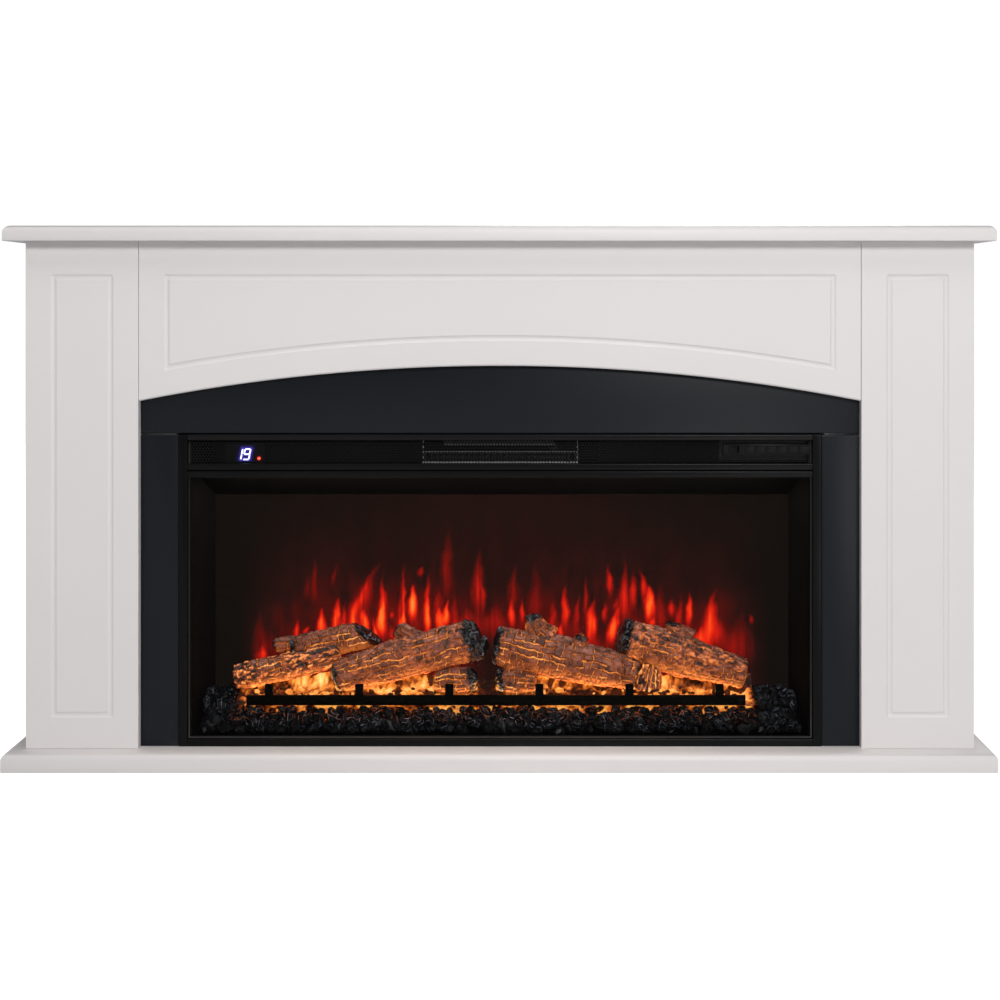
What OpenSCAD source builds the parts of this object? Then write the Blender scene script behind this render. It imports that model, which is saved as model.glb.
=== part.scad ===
// Electric fireplace: a painted mantel surround with a wide electric fire set into it.
// Origin: centre of the plinth's footprint on the floor. +Z up, the front faces -Y, the viewer's right is +X.

/* [Mantel] */
// Width of the base plinth, the widest board
plinth_w = 1654; // [1640:2:1680]
// Depth from the front of the plinth to the wall
plinth_d = 360; // [350:2:400]
// Thickness of the base plinth
plinth_t = 32; // [30:1:34]
// Width of the mantel shelf
shelf_w = 1650; // [1636:2:1676]
// Thickness of the mantel shelf
shelf_t = 26; // [22:1:30]
// Overall height, floor to shelf top
total_h = 908; // [900:2:920]
// How far the plinth stands out from the columns
plinth_over = 32; // [28:1:36]
// How far the shelf stands out from the columns
shelf_over = 30; // [26:1:32]
// Board thickness of the columns, frieze and slips
board_t = 16; // [16:1:18]
// Width of each column's front board
pilaster_w = 189; // [185:1:193]
// Radius of the routed top edge on shelf and plinth
edge_r = 12; // [6:1:14]
// Eased radius of the sharp board edges
ease_r = 1.5; // [1:0.5:2]

/* [Arch and grooves] */
// Rise of the arch at its middle
arch_rise = 59; // [50:1:64]
// Height of the arch where it meets the columns
arch_spring_z = 614.5; // [608:0.5:620]
// Radius of the cove cutter that routes the grooves
cove_r = 10; // [8:1:12]
// Depth of the grooves
cove_depth = 2; // [1.5:0.5:2.5]
// Groove centre line from the board's side edges
cove_margin = 46; // [44:1:50]
// Groove centre line from the top and bottom of the body
cove_end_margin = 60; // [56:1:64]

/* [Electric fire] */
// Width across the front trim
fire_w = 1083.4; // [1080:0.2:1083.4]
// Height of the front trim
fire_h = 525.2; // [524:0.2:526]
// Face width of the side trim
stile_w = 14.7; // [14:0.1:15]
// Depth of the casing behind the trim
casing_d = 189; // [189:1:200]
// Sheet thickness of the casing
sheet_t = 1.2; // [1:0.1:1.2]
// Thickness of the front glass
glass_t = 4; // [3:1:4]
// Height of the grate bar's underside above the floor
grate_z = 92.4; // [92.4:0.1:94]

/* [Moving parts] */
// Radius of the flame spindle's shaft
spindle_r = 3; // [2.5:0.5:3.5]
// Number of mirror paddles on the flame spindle
paddle_count = 26; // [20:1:30]
// Radius of the blower wheel
wheel_r = 17; // [15:1:17]
// Number of blades on the blower wheel
blade_count = 18; // [14:1:20]
// Radial clearance of the shafts in their bores
run_fit = 0.05; // [0.03:0.01:0.08]
// Tilt of the power switch from level, each way
rocker_tilt = 8; // [6:1:8]
// Clearance of each button in its window
button_fit = 0.2; // [0.15:0.05:0.25]

/* [Hidden] */

WHITE = "#dcd9d6";
SLIP_BLACK = "#1d2124";
TRIM_BLACK = "#141416";
STEEL = "#9a9da0";
BARK = "#8a5230";

// Main planes of the mantel
body_w = plinth_w - 2 * plinth_over;
back_y = plinth_d / 2;
face_y = -plinth_d / 2 + plinth_over;
shelf_z = total_h - shelf_t;
return_x = body_w / 2 - pilaster_w;
slip_y = face_y + board_t;
joint_gap = 0.4;

// Main planes of the electric fire
trim_y = slip_y - 3;
trim_back_y = trim_y + 12;
trim_top_z = plinth_t + fire_h;
inner_x = fire_w / 2 - stile_w;
lip = 4;
casing_x = inner_x - 1;
casing_top_z = trim_top_z - 5.2;
casing_back_y = trim_back_y + casing_d;
floor_z = plinth_t + sheet_t;
grille_z0 = 508.3;
grille_z1 = 547.7;
glass_top_z = 494;
screen_y = -15;
liner_front_x = inner_x - lip;
liner_back_x = liner_front_x - 19.5;
screen_top_z = 443;

// Flame drive, blower and controls
spindle_y = 24;
spindle_z = 120;
bearing_x = 482;
wheel_y = -70;
wheel_z = 526;
duct_x = 131;
mouth_z0 = 508.9;
mouth_z1 = 528;
panel_z = 531;
rocker_x = 394;
rocker_y = -117.5;
button_x0 = 421;
button_pitch = 18.2;

// Arc of a circle as points, from angle a0 to a1 in n steps
function arc(cx, cy, r, a0, a1, n) =
    [for (i = [0:n]) let (a = a0 + (a1 - a0) * i / n) [cx + r * cos(a), cy + r * sin(a)]];

// A block between its lowest and highest corners
module block(lo, hi) {
    translate(lo) cube(hi - lo);
}

// Extrudes a profile drawn as (y, z) along X, from x0 to x1
module along_x(x0, x1) {
    translate([x0, 0, 0]) rotate([90, 0, 90]) linear_extrude(x1 - x0) children();
}

// Extrudes a profile drawn as (x, z) along Y, from y0 to y1
module along_y(y0, y1) {
    translate([0, y1, 0]) rotate([90, 0, 0]) linear_extrude(y1 - y0) children();
}

// A straight round bar or cone between two points
module bar(p, q, r0, r1) {
    d = q - p;
    translate(p)
        rotate([0, acos(d.z / norm(d)), atan2(d.y, d.x)])
            cylinder(h = norm(d), r1 = r0, r2 = r1, $fn = 32);
}

// Repeats its children mirrored to the left side
module both_sides() {
    children();
    mirror([1, 0, 0]) children();
}

// ---------- Mantel ----------

// Section of a shelf board from u0 to u1: big radius on top, small one below, only at the front if back is square
function shelf_section(u0, u1, z0, t, round_both) = concat(
    arc(u0 + ease_r, z0 + ease_r, ease_r, 270, 180, 3),
    arc(u0 + edge_r, z0 + t - edge_r, edge_r, 180, 90, 8),
    round_both ? arc(u1 - edge_r, z0 + t - edge_r, edge_r, 90, 0, 8) : [[u1, z0 + t]],
    round_both ? arc(u1 - ease_r, z0 + ease_r, ease_r, 0, -90, 3) : [[u1, z0]]);

// A board whose top edge is rounded at the front and both ends
module shelf_board(w, y0, z0, t) {
    intersection() {
        along_y(y0 - 1, back_y) polygon(shelf_section(-w / 2, w / 2, z0, t, true));
        along_x(-w / 2 - 1, w / 2 + 1) polygon(shelf_section(y0, back_y, z0, t, false));
    }
}

screw_spots = [for (x = [body_w / 2 - board_t / 2, return_x + board_t / 2], y = [-90, 120]) [x, y]];
screw_r = 3.4;
screw_hole_r = screw_r + 0.05;
screw_head_r = 5;
screw_top_z = plinth_t + 22;

module screw_holes() {
    both_sides() for (p = screw_spots) {
        translate([p.x, p.y, -1]) cylinder(h = screw_top_z + 2, r = screw_hole_r, $fn = 32);
        translate([p.x, p.y, -1]) cylinder(h = 5, r = screw_head_r + 0.5, $fn = 32);
    }
}

module base_plinth() {
    color(WHITE) difference() {
        shelf_board(plinth_w, -plinth_d / 2, 0, plinth_t);
        screw_holes();
    }
}

module mantel_shelf() {
    color(WHITE) shelf_board(shelf_w, face_y - shelf_over, shelf_z, shelf_t);
}

// One straight run of the cove cutter with a ball at its start
module cove_run(x0, z0, x1, z1) {
    cut_y = face_y - cove_r + cove_depth;
    bar([x0, cut_y, z0], [x1, cut_y, z1], cove_r, cove_r);
    translate([x0, cut_y, z0]) sphere(r = cove_r, $fn = 48);
}

module right_pilaster_board() {
    x0 = return_x + cove_margin;
    x1 = body_w / 2 - cove_margin;
    z0 = plinth_t + cove_end_margin;
    z1 = shelf_z - cove_end_margin;
    color(WHITE) difference() {
        block([return_x, face_y, plinth_t], [body_w / 2, slip_y, shelf_z]);
        cove_run(x0, z0, x1, z0);
        cove_run(x1, z0, x1, z1);
        cove_run(x1, z1, x0, z1);
        cove_run(x0, z1, x0, z0);
    }
}

module left_pilaster() {
    mirror([1, 0, 0]) right_pilaster_board();
}

module right_pilaster() {
    right_pilaster_board();
}

// Upright board behind a column's front, between x0 and x1
module column_board(x0, x1) {
    color(WHITE) difference() {
        block([x0, slip_y, plinth_t], [x1, back_y, shelf_z]);
        screw_holes();
    }
}

module left_side_panel() {
    mirror([1, 0, 0]) right_side_panel();
}

module right_side_panel() {
    column_board(body_w / 2 - board_t, body_w / 2);
}

module left_return_panel() {
    mirror([1, 0, 0]) right_return_panel();
}

module right_return_panel() {
    column_board(return_x, return_x + board_t);
}

// The arch is part of one large circle through its springing points
arch_half = return_x - joint_gap;
arch_r = (arch_half * arch_half + arch_rise * arch_rise) / (2 * arch_rise);
arch_cz = arch_spring_z + arch_rise - arch_r;

module frieze_panel() {
    groove_r = arch_r + cove_margin;
    groove_x = arch_half - cove_margin;
    groove_z = shelf_z - cove_end_margin;
    groove_low_z = arch_cz + sqrt(groove_r * groove_r - groove_x * groove_x);
    half_angle = asin(groove_x / groove_r);
    cut_y = face_y - cove_r + cove_depth;
    color(WHITE) difference() {
        block([-arch_half, face_y, arch_spring_z - 1], [arch_half, slip_y, shelf_z]);
        translate([0, face_y - 1, arch_cz])
            rotate([-90, 0, 0]) cylinder(h = board_t + 2, r = arch_r, $fn = 360);
        cove_run(-groove_x, groove_z, groove_x, groove_z);
        cove_run(groove_x, groove_z, groove_x, groove_low_z);
        cove_run(-groove_x, groove_low_z, -groove_x, groove_z);
        translate([groove_x, cut_y, groove_low_z]) sphere(r = cove_r, $fn = 48);
        translate([0, cut_y, arch_cz]) rotate([90, half_angle - 90, 0])
            rotate_extrude(angle = 2 * half_angle, $fn = 720)
                translate([groove_r, 0]) circle(r = cove_r, $fn = 48);
    }
}

slip_joint_z = trim_top_z + 1;

module top_slip_panel() {
    color(SLIP_BLACK) along_x(-return_x, return_x) polygon([[slip_y + board_t, slip_joint_z],
        [slip_y + board_t, slip_joint_z + 162], [slip_y, slip_joint_z + 162],
        [slip_y, slip_joint_z + 2], [slip_y + 2, slip_joint_z]]);
}

module left_slip_panel() {
    mirror([1, 0, 0]) right_slip_panel();
}

module right_slip_panel() {
    top_z = slip_joint_z - 1.2;
    color(SLIP_BLACK) along_x(fire_w / 2 + 0.6, return_x) polygon([[slip_y, plinth_t],
        [slip_y + board_t, plinth_t], [slip_y + board_t, top_z], [slip_y + 2, top_z],
        [slip_y, top_z - 2]]);
}

module rear_rail() {
    color(WHITE) block([-return_x, back_y - board_t, shelf_z - 82], [return_x, back_y, shelf_z]);
}

module assembly_screws() {
    color(STEEL) both_sides() for (p = screw_spots) {
        translate([p.x, p.y, 0.8]) cylinder(h = 3.2, r = screw_head_r, $fn = 32);
        translate([p.x, p.y, 3.9]) cylinder(h = screw_top_z - 4, r = screw_r, $fn = 32);
    }
}

bracket_z = 760;
bracket_hole_r = 2.75;
bracket_hole_pitch = 24;

module wall_brackets() {
    side_x = body_w / 2 - board_t;
    hole_x = side_x - 24;
    color(STEEL) both_sides() difference() {
        union() {
            block([side_x - 2, back_y - 40, bracket_z - 22], [side_x, back_y, bracket_z + 22]);
            block([side_x - 40, back_y - 2, bracket_z - 22], [side_x, back_y, bracket_z + 22]);
        }
        for (s = [-0.5, 0.5])
            translate([hole_x, back_y - 3, bracket_z + s * bracket_hole_pitch])
                rotate([-90, 0, 0]) cylinder(h = 4, r = bracket_hole_r, $fn = 32);
    }
}

// ---------- Casing of the electric fire ----------

gland_x = 440;
gland_z = 80;
gland_r = 9;

module casing_back() {
    slot_pitch = 60;
    inside_y = casing_back_y - sheet_t;
    shield_x = 6 * slot_pitch + 26;
    shield_y = inside_y - 12;
    shield_top = 484;
    color(TRIM_BLACK) {
        difference() {
            block([-casing_x + sheet_t, inside_y, floor_z], [casing_x - sheet_t, casing_back_y, casing_top_z - sheet_t]);
            translate([gland_x, casing_back_y - 3, gland_z])
                rotate([-90, 0, 0]) cylinder(h = 5, r = gland_r + 0.05, $fn = 48);
            for (i = [-6:6], z = [452, 462, 472])
                block([i * slot_pitch - 20, casing_back_y - 3, z], [i * slot_pitch + 20, casing_back_y + 3, z + 4]);
        }
        // A folded shield inside the vents, open along its lower edge
        block([-shield_x, shield_y, 446], [shield_x, shield_y + sheet_t, shield_top]);
        block([-shield_x, shield_y, shield_top - sheet_t], [shield_x, inside_y + 0.3, shield_top]);
    }
}

// A flange behind the slip panels stops the casing and closes the gap round the trim
flange_y = slip_y + board_t + 0.5;
flange_x = fire_w / 2 + 8;
flange_z = trim_top_z + 10;

module casing_top() {
    color(TRIM_BLACK) {
        block([-casing_x + sheet_t, trim_back_y, casing_top_z - sheet_t],
            [casing_x - sheet_t, casing_back_y, casing_top_z]);
        block([-casing_x + sheet_t, flange_y, casing_top_z - sheet_t], [casing_x - sheet_t, flange_y + 1, flange_z]);
    }
}

module casing_base() {
    color(TRIM_BLACK) block([-casing_x + sheet_t, trim_back_y, plinth_t],
        [casing_x - sheet_t, casing_back_y, floor_z]);
}

module casing_ends() {
    color(TRIM_BLACK) both_sides() {
        block([casing_x - sheet_t, trim_back_y, plinth_t], [casing_x, casing_back_y, casing_top_z]);
        block([casing_x - sheet_t, flange_y, plinth_t], [flange_x, flange_y + 1, flange_z]);
    }
}

module trim_top_rail() {
    color(TRIM_BLACK) block([-inner_x, trim_y, grille_z1], [inner_x, trim_back_y, trim_top_z]);
}

// The bottom rail slopes back above its face, up to the glass
module trim_bottom_rail() {
    color(TRIM_BLACK) along_x(-inner_x, inner_x) polygon([[trim_y, plinth_t], [trim_back_y, plinth_t],
        [trim_back_y, 48.6], [trim_back_y - 2, 48.6], [trim_y, 44]]);
}

module trim_left_stile() {
    mirror([1, 0, 0]) trim_right_stile();
}

// Each side stile has a thin lip that holds the glass
module trim_right_stile() {
    color(TRIM_BLACK) {
        block([inner_x, trim_y, plinth_t], [fire_w / 2, trim_back_y, trim_top_z]);
        block([inner_x - lip, trim_back_y - 2, 48.6], [inner_x, trim_back_y, 485.5]);
    }
}

module air_grille() {
    color(TRIM_BLACK) difference() {
        block([-casing_x + 1.5, trim_back_y, 496.5], [casing_x - 1.5, trim_back_y + 1, 550.5]);
        block([379, trim_back_y - 1, panel_z - 8.2], [523, trim_back_y + 2, panel_z + 8.2]);
    }
}

module grille_sill() {
    color(TRIM_BLACK) block([-inner_x, trim_y, 497.3], [inner_x, trim_back_y, grille_z0]);
}

module glass_top_strip() {
    color(TRIM_BLACK) block([-inner_x, trim_y, 485.5], [inner_x, trim_back_y, 495.6]);
}

module glass_pane() {
    color("#303538", 0.35) block([-casing_x + 1.5, trim_back_y, floor_z],
        [casing_x - 1.5, trim_back_y + glass_t, glass_top_z]);
}

// ---------- Firebox lining and flame picture ----------

// Underside of the sloping ceiling as (y, z), from the glass back to the screen
ceiling_line = [[trim_back_y, 494.5], [-110, 494.5], [screen_y - 1, screen_top_z]];

module ceiling_panel() {
    color("#16130f") along_x(-casing_x + sheet_t, casing_x - sheet_t) polygon(concat(ceiling_line,
        [for (i = [2:-1:0]) ceiling_line[i] + [0, 1.5]]));
}

module side_liners() {
    front_y = trim_back_y + glass_t + 0.5;
    color("#16130f") both_sides() difference() {
        translate([0, 0, floor_z]) linear_extrude(glass_top_z - floor_z)
            polygon([[liner_front_x, front_y], [liner_front_x + 1.5, front_y],
                [liner_back_x + 1.5, screen_y - 0.3], [liner_back_x, screen_y - 0.3]]);
        along_x(400, 600) polygon(concat([for (p = ceiling_line) p - [0, 0.1]],
            [[screen_y + 5, screen_top_z - 0.1], [screen_y + 5, 520], [trim_back_y, 520]]));
    }
}

module flame_screen() {
    color("#2a1410") block([-liner_back_x - 1, screen_y, floor_z],
        [liner_back_x + 1, screen_y + 3, screen_top_z - 1]);
}

// Outline of one flame tongue of width w and height h, leaning by lean
function tongue(w, h, lean) = concat(
    [for (i = [0:8]) let (t = i / 8) [w / 2 * sin(180 * pow(t, 0.6)) + lean * t * t, h * t]],
    [for (i = [7:-1:1]) let (t = i / 8) [-w / 2 * sin(180 * pow(t, 0.6)) + lean * t * t, h * t]]);

module flame_stencil() {
    pitch = 100;
    color(STEEL) difference() {
        block([-liner_back_x - 1, -2, floor_z], [liner_back_x + 1, -1.2, 440]);
        for (i = [-4:4])
            translate([i * pitch, 0, 110]) along_y(-3, 0)
                polygon(tongue(64, 190 + 40 * cos(100 * i), 24 * sin(70 * i)));
    }
}

paddle_w = 28;
paddle_r = 13;

module flame_spindle() {
    span = 2 * (bearing_x - 34);
    color(STEEL) translate([0, spindle_y, spindle_z]) {
        translate([-bearing_x - 10, 0, 0]) rotate([0, 90, 0])
            cylinder(h = 2 * bearing_x + 20, r = spindle_r, $fn = 48);
        for (i = [0:paddle_count - 1])
            translate([-span / 2 + span * i / (paddle_count - 1), 0, 0]) rotate([i * 50, 0, 0])
                cube([paddle_w, 0.8, 2 * paddle_r], center = true);
    }
}

// Upright plates that carry the spindle in round bosses
module spindle_bearings() {
    color("#2b2b2e") both_sides() difference() {
        union() {
            block([bearing_x - 12, spindle_y - 12, floor_z], [bearing_x - 8, spindle_y + 12, spindle_z + 10]);
            translate([bearing_x - 16, spindle_y, spindle_z]) rotate([0, 90, 0])
                cylinder(h = 12, r = 8, $fn = 48);
        }
        translate([bearing_x - 20, spindle_y, spindle_z]) rotate([0, 90, 0])
            cylinder(h = 20, r = spindle_r + run_fit, $fn = 48);
    }
}

module spindle_motor() {
    color(STEEL) difference() {
        union() {
            translate([bearing_x, spindle_y, spindle_z]) rotate([0, 90, 0])
                cylinder(h = 20, r = 22, $fn = 64);
            block([bearing_x, spindle_y - 20, floor_z], [bearing_x + 2, spindle_y + 20, spindle_z]);
        }
        translate([bearing_x - 1, spindle_y, spindle_z]) rotate([0, 90, 0])
            cylinder(h = 12, r = spindle_r + run_fit, $fn = 48);
    }
}

// One board of lamps behind the spindle, and one under the ember bed
module led_boards() {
    color("#2f6b3c") {
        block([-460, 54, 100], [460, 55.6, 132]);
        for (i = [-4:4]) block([i * 110 - 4, 55.6, 112], [i * 110 + 4, casing_back_y - sheet_t, 120]);
        for (i = [-11:11]) block([i * 40 - 2.5, 52.6, 113.5], [i * 40 + 2.5, 54, 118.5]);
        block([-420, -66, floor_z + 5], [404, -40, floor_z + 6.6]);
        for (i = [-3:3]) block([i * 120 - 12, -57, floor_z], [i * 120 - 4, -49, floor_z + 5]);
        for (i = [-10:10]) block([i * 38 - 10.5, -55.5, floor_z + 6.6], [i * 38 - 5.5, -50.5, floor_z + 8]);
    }
}

// ---------- Fuel bed ----------

bed_x0 = -455;
bed_x1 = 437;

// A hollow translucent moulding that the lamps light from below
module ember_bed() {
    skin = 3;
    outer = [[-90, floor_z], [-90, 88], [-84, 94], [-56, 104], [-42, 108], [-28, 128], [-24, 128], [-24, floor_z]];
    inner = [[-90 + skin, floor_z - 1], [-90 + skin, 88 - skin / 2], [-82, 94 - skin],
        [-55, 104 - skin], [-40, 107 - skin], [-27, 128 - 2 * skin], [-27, floor_z - 1]];
    color("#d98a3a") difference() {
        along_x(bed_x0, bed_x1) polygon(outer);
        along_x(bed_x0 + skin, bed_x1 - skin) polygon(inner);
    }
}

module log_left_front() {
    color(BARK) bar([-458, -70, 134], [-300, -58, 160], 21, 17);
}

module log_left_back() {
    color(BARK) {
        bar([-362, -40, 184], [-230, -40, 208], 19.5, 21);
        bar([-390, -42, 188], [-362, -42, 188], 12, 12);
    }
}

module log_left_centre() {
    color(BARK) {
        bar([-286, -66, 131], [-38, -58, 197], 26, 33);
        bar([-168, -58, 186], [-164, -42, 212], 14, 12);
    }
}

module log_right_centre() {
    color(BARK) {
        bar([-8, -60, 188], [232, -64, 139], 31, 25);
        bar([66, -56, 190], [60, -50, 230], 17, 15);
        bar([134, -60, 165], [139, -64, 201], 11, 11);
    }
}

module log_right() {
    color(BARK) {
        bar([216, -56, 201], [420, -64, 138], 29, 24);
        bar([294, -54, 190], [308, -48, 222], 15, 13);
    }
}

// Broken pieces lying on the embers between the logs
module log_offcuts() {
    color(BARK) {
        bar([-114, -67, 125], [-48, -67, 127.5], 18.5, 23);
        bar([-4, -67, 125], [56, -67, 123], 21, 19.5);
        bar([257, -73, 117], [261, -71, 154], 18, 16);
    }
}

module grate() {
    pitch = 153.8;
    mid_x = -10.8;
    color(TRIM_BLACK) {
        block([-434, -100, grate_z], [418, -92, grate_z + 16.5]);
        for (i = [-2.5:2.5])
            block([mid_x + i * pitch - 7, -100, grate_z + 16], [mid_x + i * pitch + 7, -92, grate_z + 35.5]);
    }
}

module coal_bed() {
    color("#1b1b1d") {
        along_x(-512, 512) polygon([[-118.4, floor_z], [-91, floor_z], [-91, grate_z],
            [-101, grate_z], [-118.4, 58]]);
        for (span = [[-503, bed_x0 - 1], [bed_x1 + 1, 503]])
            along_x(span[0], span[1]) polygon([[-91, floor_z], [-30, floor_z], [-30, 112], [-91, 92]]);
    }
}

// ---------- Heater and blower ----------

// Hollow box along X, open or closed as its cutters say
module heater_duct() {
    color(STEEL) difference() {
        union() {
            block([-duct_x, -121.5, mouth_z0], [duct_x, -95, mouth_z1]);
            block([-duct_x, -96, 504], [duct_x, -48, casing_top_z - sheet_t]);
        }
        block([-duct_x + 1.2, -122, mouth_z0 + 1.2], [duct_x - 1.2, -94, mouth_z1 - 1.2]);
        block([-duct_x + 1.2, -94.8, 505.2], [duct_x - 1.2, -49.2, casing_top_z - sheet_t - 1.2]);
        block([-115, -50, 513], [115, -47, 539]);
        translate([-duct_x - 1, wheel_y, wheel_z]) rotate([0, 90, 0])
            cylinder(h = 2 * duct_x + 2, r = 2.5 + run_fit, $fn = 48);
    }
}

module blower_wheel() {
    half = 118;
    color("#3a3a3d") translate([0, wheel_y, wheel_z]) rotate([0, 90, 0]) {
        translate([0, 0, -duct_x - 4]) cylinder(h = 2 * duct_x + 16, r = 2.5, $fn = 48);
        for (x = [-half, -1, half - 2]) translate([0, 0, x]) cylinder(h = 2, r = wheel_r, $fn = 64);
        for (i = [0:blade_count - 1]) rotate([0, 0, i * 360 / blade_count])
            translate([wheel_r - 3.5, 0, 0]) rotate([0, 0, 30])
                cube([5, 0.9, 2 * half - 1], center = true);
    }
}

module blower_motor() {
    x0 = duct_x + 2;
    color(STEEL) difference() {
        union() {
            translate([x0, wheel_y, wheel_z]) rotate([0, 90, 0]) cylinder(h = 34, r = 20, $fn = 64);
            block([x0, wheel_y - 14, wheel_z], [x0 + 2, wheel_y + 14, casing_top_z - sheet_t]);
        }
        translate([x0 - 1, wheel_y, wheel_z]) rotate([0, 90, 0])
            cylinder(h = 14, r = 2.5 + run_fit, $fn = 48);
    }
}

// A ceramic bar with slots for the air
module heating_element() {
    x_end = duct_x - 1.2;
    color("#6f6a64") difference() {
        block([-x_end, -114, mouth_z0 + 1.2], [x_end, -100, mouth_z1 - 1.2]);
        for (i = [-11.5:11.5])
            block([i * 10.6 - 4, -115, mouth_z0 + 3.2], [i * 10.6 + 4, -99, mouth_z1 - 3.2]);
    }
}

module thermal_cutout() {
    color("#e4ddd0") {
        translate([90, -108, mouth_z1]) cylinder(h = 7, r = 8, $fn = 48);
        for (x = [86, 94]) block([x - 0.4, -111, mouth_z1 + 7], [x + 0.4, -105, mouth_z1 + 14]);
    }
}

// ---------- Controls ----------

function button_x(i) = button_x0 + i * button_pitch;
window_w = 15;
window_h = 11;
board_y = -107;

module control_board() {
    color("#2f6b3c") {
        block([372, board_y, 512], [522, board_y + 1.6, 546]);
        for (i = [0:5]) block([button_x(i) - 3, board_y - 3.3, panel_z - 3],
            [button_x(i) + 3, board_y, panel_z + 3]);
        block([382, board_y + 1.6, 516], [412, board_y + 20, 540]);
        for (x = [430, 452]) block([x, board_y + 1.6, 518], [x + 18, board_y + 17, 534]);
        translate([492, board_y + 1.6, 528]) rotate([-90, 0, 0]) cylinder(h = 18, r = 8, $fn = 32);
    }
}

module display_module() {
    color("#101014") {
        block([-463, -121.8, 509], [-398, -111, 541]);
        block([-445, -117, 496], [-415, -115, 509]);
    }
}

// Bezel and button guides; the front face is flush round the windows
module control_panel() {
    x0 = 376;
    x1 = 524;
    front = trim_back_y - 2.5;
    color(TRIM_BLACK) difference() {
        union() {
            block([x0, front, panel_z - 9.4], [x1, trim_back_y, panel_z + 9.4]);
            block([x0 + 3.5, trim_back_y - 1, panel_z - 7.8], [x1 - 1.5, -112, panel_z + 7.8]);
            for (x = [x0 + 3.5, x1 - 3.5]) block([x, -113, panel_z - 7.8], [x + 2, board_y, panel_z + 7.8]);
        }
        for (i = [0:5]) {
            block([button_x(i) - window_w / 2, front - 1, panel_z - window_h / 2],
                [button_x(i) + window_w / 2, -111, panel_z + window_h / 2]);
            block([button_x(i) - 8.6, -121.5, panel_z - 6.5], [button_x(i) + 8.6, -111, panel_z + 6.5]);
        }
        block([rocker_x - 9.2, front - 1, panel_z - 6.3], [rocker_x + 9.2, -111, panel_z + 6.3]);
        translate([rocker_x, rocker_y, panel_z - 9]) cylinder(h = 18, r = 1 + run_fit, $fn = 32);
    }
}

module power_switch() {
    color("#0c0c0e") translate([rocker_x, rocker_y, panel_z]) rotate([0, 0, -rocker_tilt]) {
        translate([0, 0, -6]) linear_extrude(12)
            polygon([[-7.8, -9.6], [0, -8.2], [7.8, -9.6], [5, 2], [-5, 2]]);
        translate([0, 0, -7.4]) cylinder(h = 14.8, r = 1, $fn = 32);
    }
}

module button(i) {
    cap = [window_w / 2 - button_fit, window_h / 2 - button_fit];
    color("#0c0c0e") translate([button_x(i), 0, panel_z]) {
        block([-cap.x, -126.6, -cap.y], [cap.x, -121.4, cap.y]);
        block([-8.3, -121.4, -6.2], [8.3, -120, 6.2]);
        translate([0, -120.1, 0]) rotate([-90, 0, 0]) cylinder(h = 8.6, r = 2, $fn = 32);
    }
}

module cable_gland() {
    color("#0c0c0e") translate([gland_x, casing_back_y, gland_z]) rotate([-90, 0, 0]) difference() {
        union() {
            translate([0, 0, -10]) cylinder(h = 11, r = gland_r, $fn = 48);
            cylinder(h = 4, r = 13, $fn = 48);
            translate([0, 0, -6.2]) cylinder(h = 5, r = 13, $fn = 6);
        }
        translate([0, 0, -11]) cylinder(h = 16, r = 4, $fn = 48);
    }
}

base_plinth();
mantel_shelf();
left_pilaster();
right_pilaster();
left_side_panel();
right_side_panel();
left_return_panel();
right_return_panel();
frieze_panel();
top_slip_panel();
left_slip_panel();
right_slip_panel();
rear_rail();
assembly_screws();
wall_brackets();
casing_back();
casing_top();
casing_base();
casing_ends();
trim_top_rail();
trim_bottom_rail();
trim_left_stile();
trim_right_stile();
air_grille();
grille_sill();
glass_top_strip();
glass_pane();
side_liners();
ceiling_panel();
flame_screen();
flame_stencil();
flame_spindle();
spindle_bearings();
spindle_motor();
led_boards();
ember_bed();
log_left_front();
log_left_back();
log_left_centre();
log_right_centre();
log_right();
log_offcuts();
grate();
coal_bed();
heater_duct();
blower_wheel();
blower_motor();
heating_element();
thermal_cutout();
control_board();
display_module();
control_panel();
power_switch();
button(0);  // button_1
button(1);  // button_2
button(2);  // button_3
button(3);  // button_4
button(4);  // button_5
button(5);  // button_6
cable_gland();
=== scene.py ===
import math

import bmesh
import bpy
import numpy as np
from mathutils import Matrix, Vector


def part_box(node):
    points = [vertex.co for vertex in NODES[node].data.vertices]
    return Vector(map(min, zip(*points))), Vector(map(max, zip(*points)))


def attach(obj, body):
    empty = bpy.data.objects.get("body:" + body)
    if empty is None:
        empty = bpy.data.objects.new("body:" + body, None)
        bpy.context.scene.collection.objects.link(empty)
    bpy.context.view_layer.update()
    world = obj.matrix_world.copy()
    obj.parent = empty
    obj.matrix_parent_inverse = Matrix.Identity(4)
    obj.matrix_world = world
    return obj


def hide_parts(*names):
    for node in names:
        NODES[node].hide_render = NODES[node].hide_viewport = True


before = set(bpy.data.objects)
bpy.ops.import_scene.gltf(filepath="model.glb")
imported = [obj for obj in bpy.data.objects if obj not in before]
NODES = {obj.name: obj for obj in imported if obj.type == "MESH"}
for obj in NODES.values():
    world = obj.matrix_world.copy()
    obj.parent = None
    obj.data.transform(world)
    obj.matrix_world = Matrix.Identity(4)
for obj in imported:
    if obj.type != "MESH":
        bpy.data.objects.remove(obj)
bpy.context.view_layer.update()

MM = 0.001
scene = bpy.context.scene
scene.view_settings.view_transform = "Standard"

# ---------------------------------------------------------------- helpers: node materials


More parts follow.
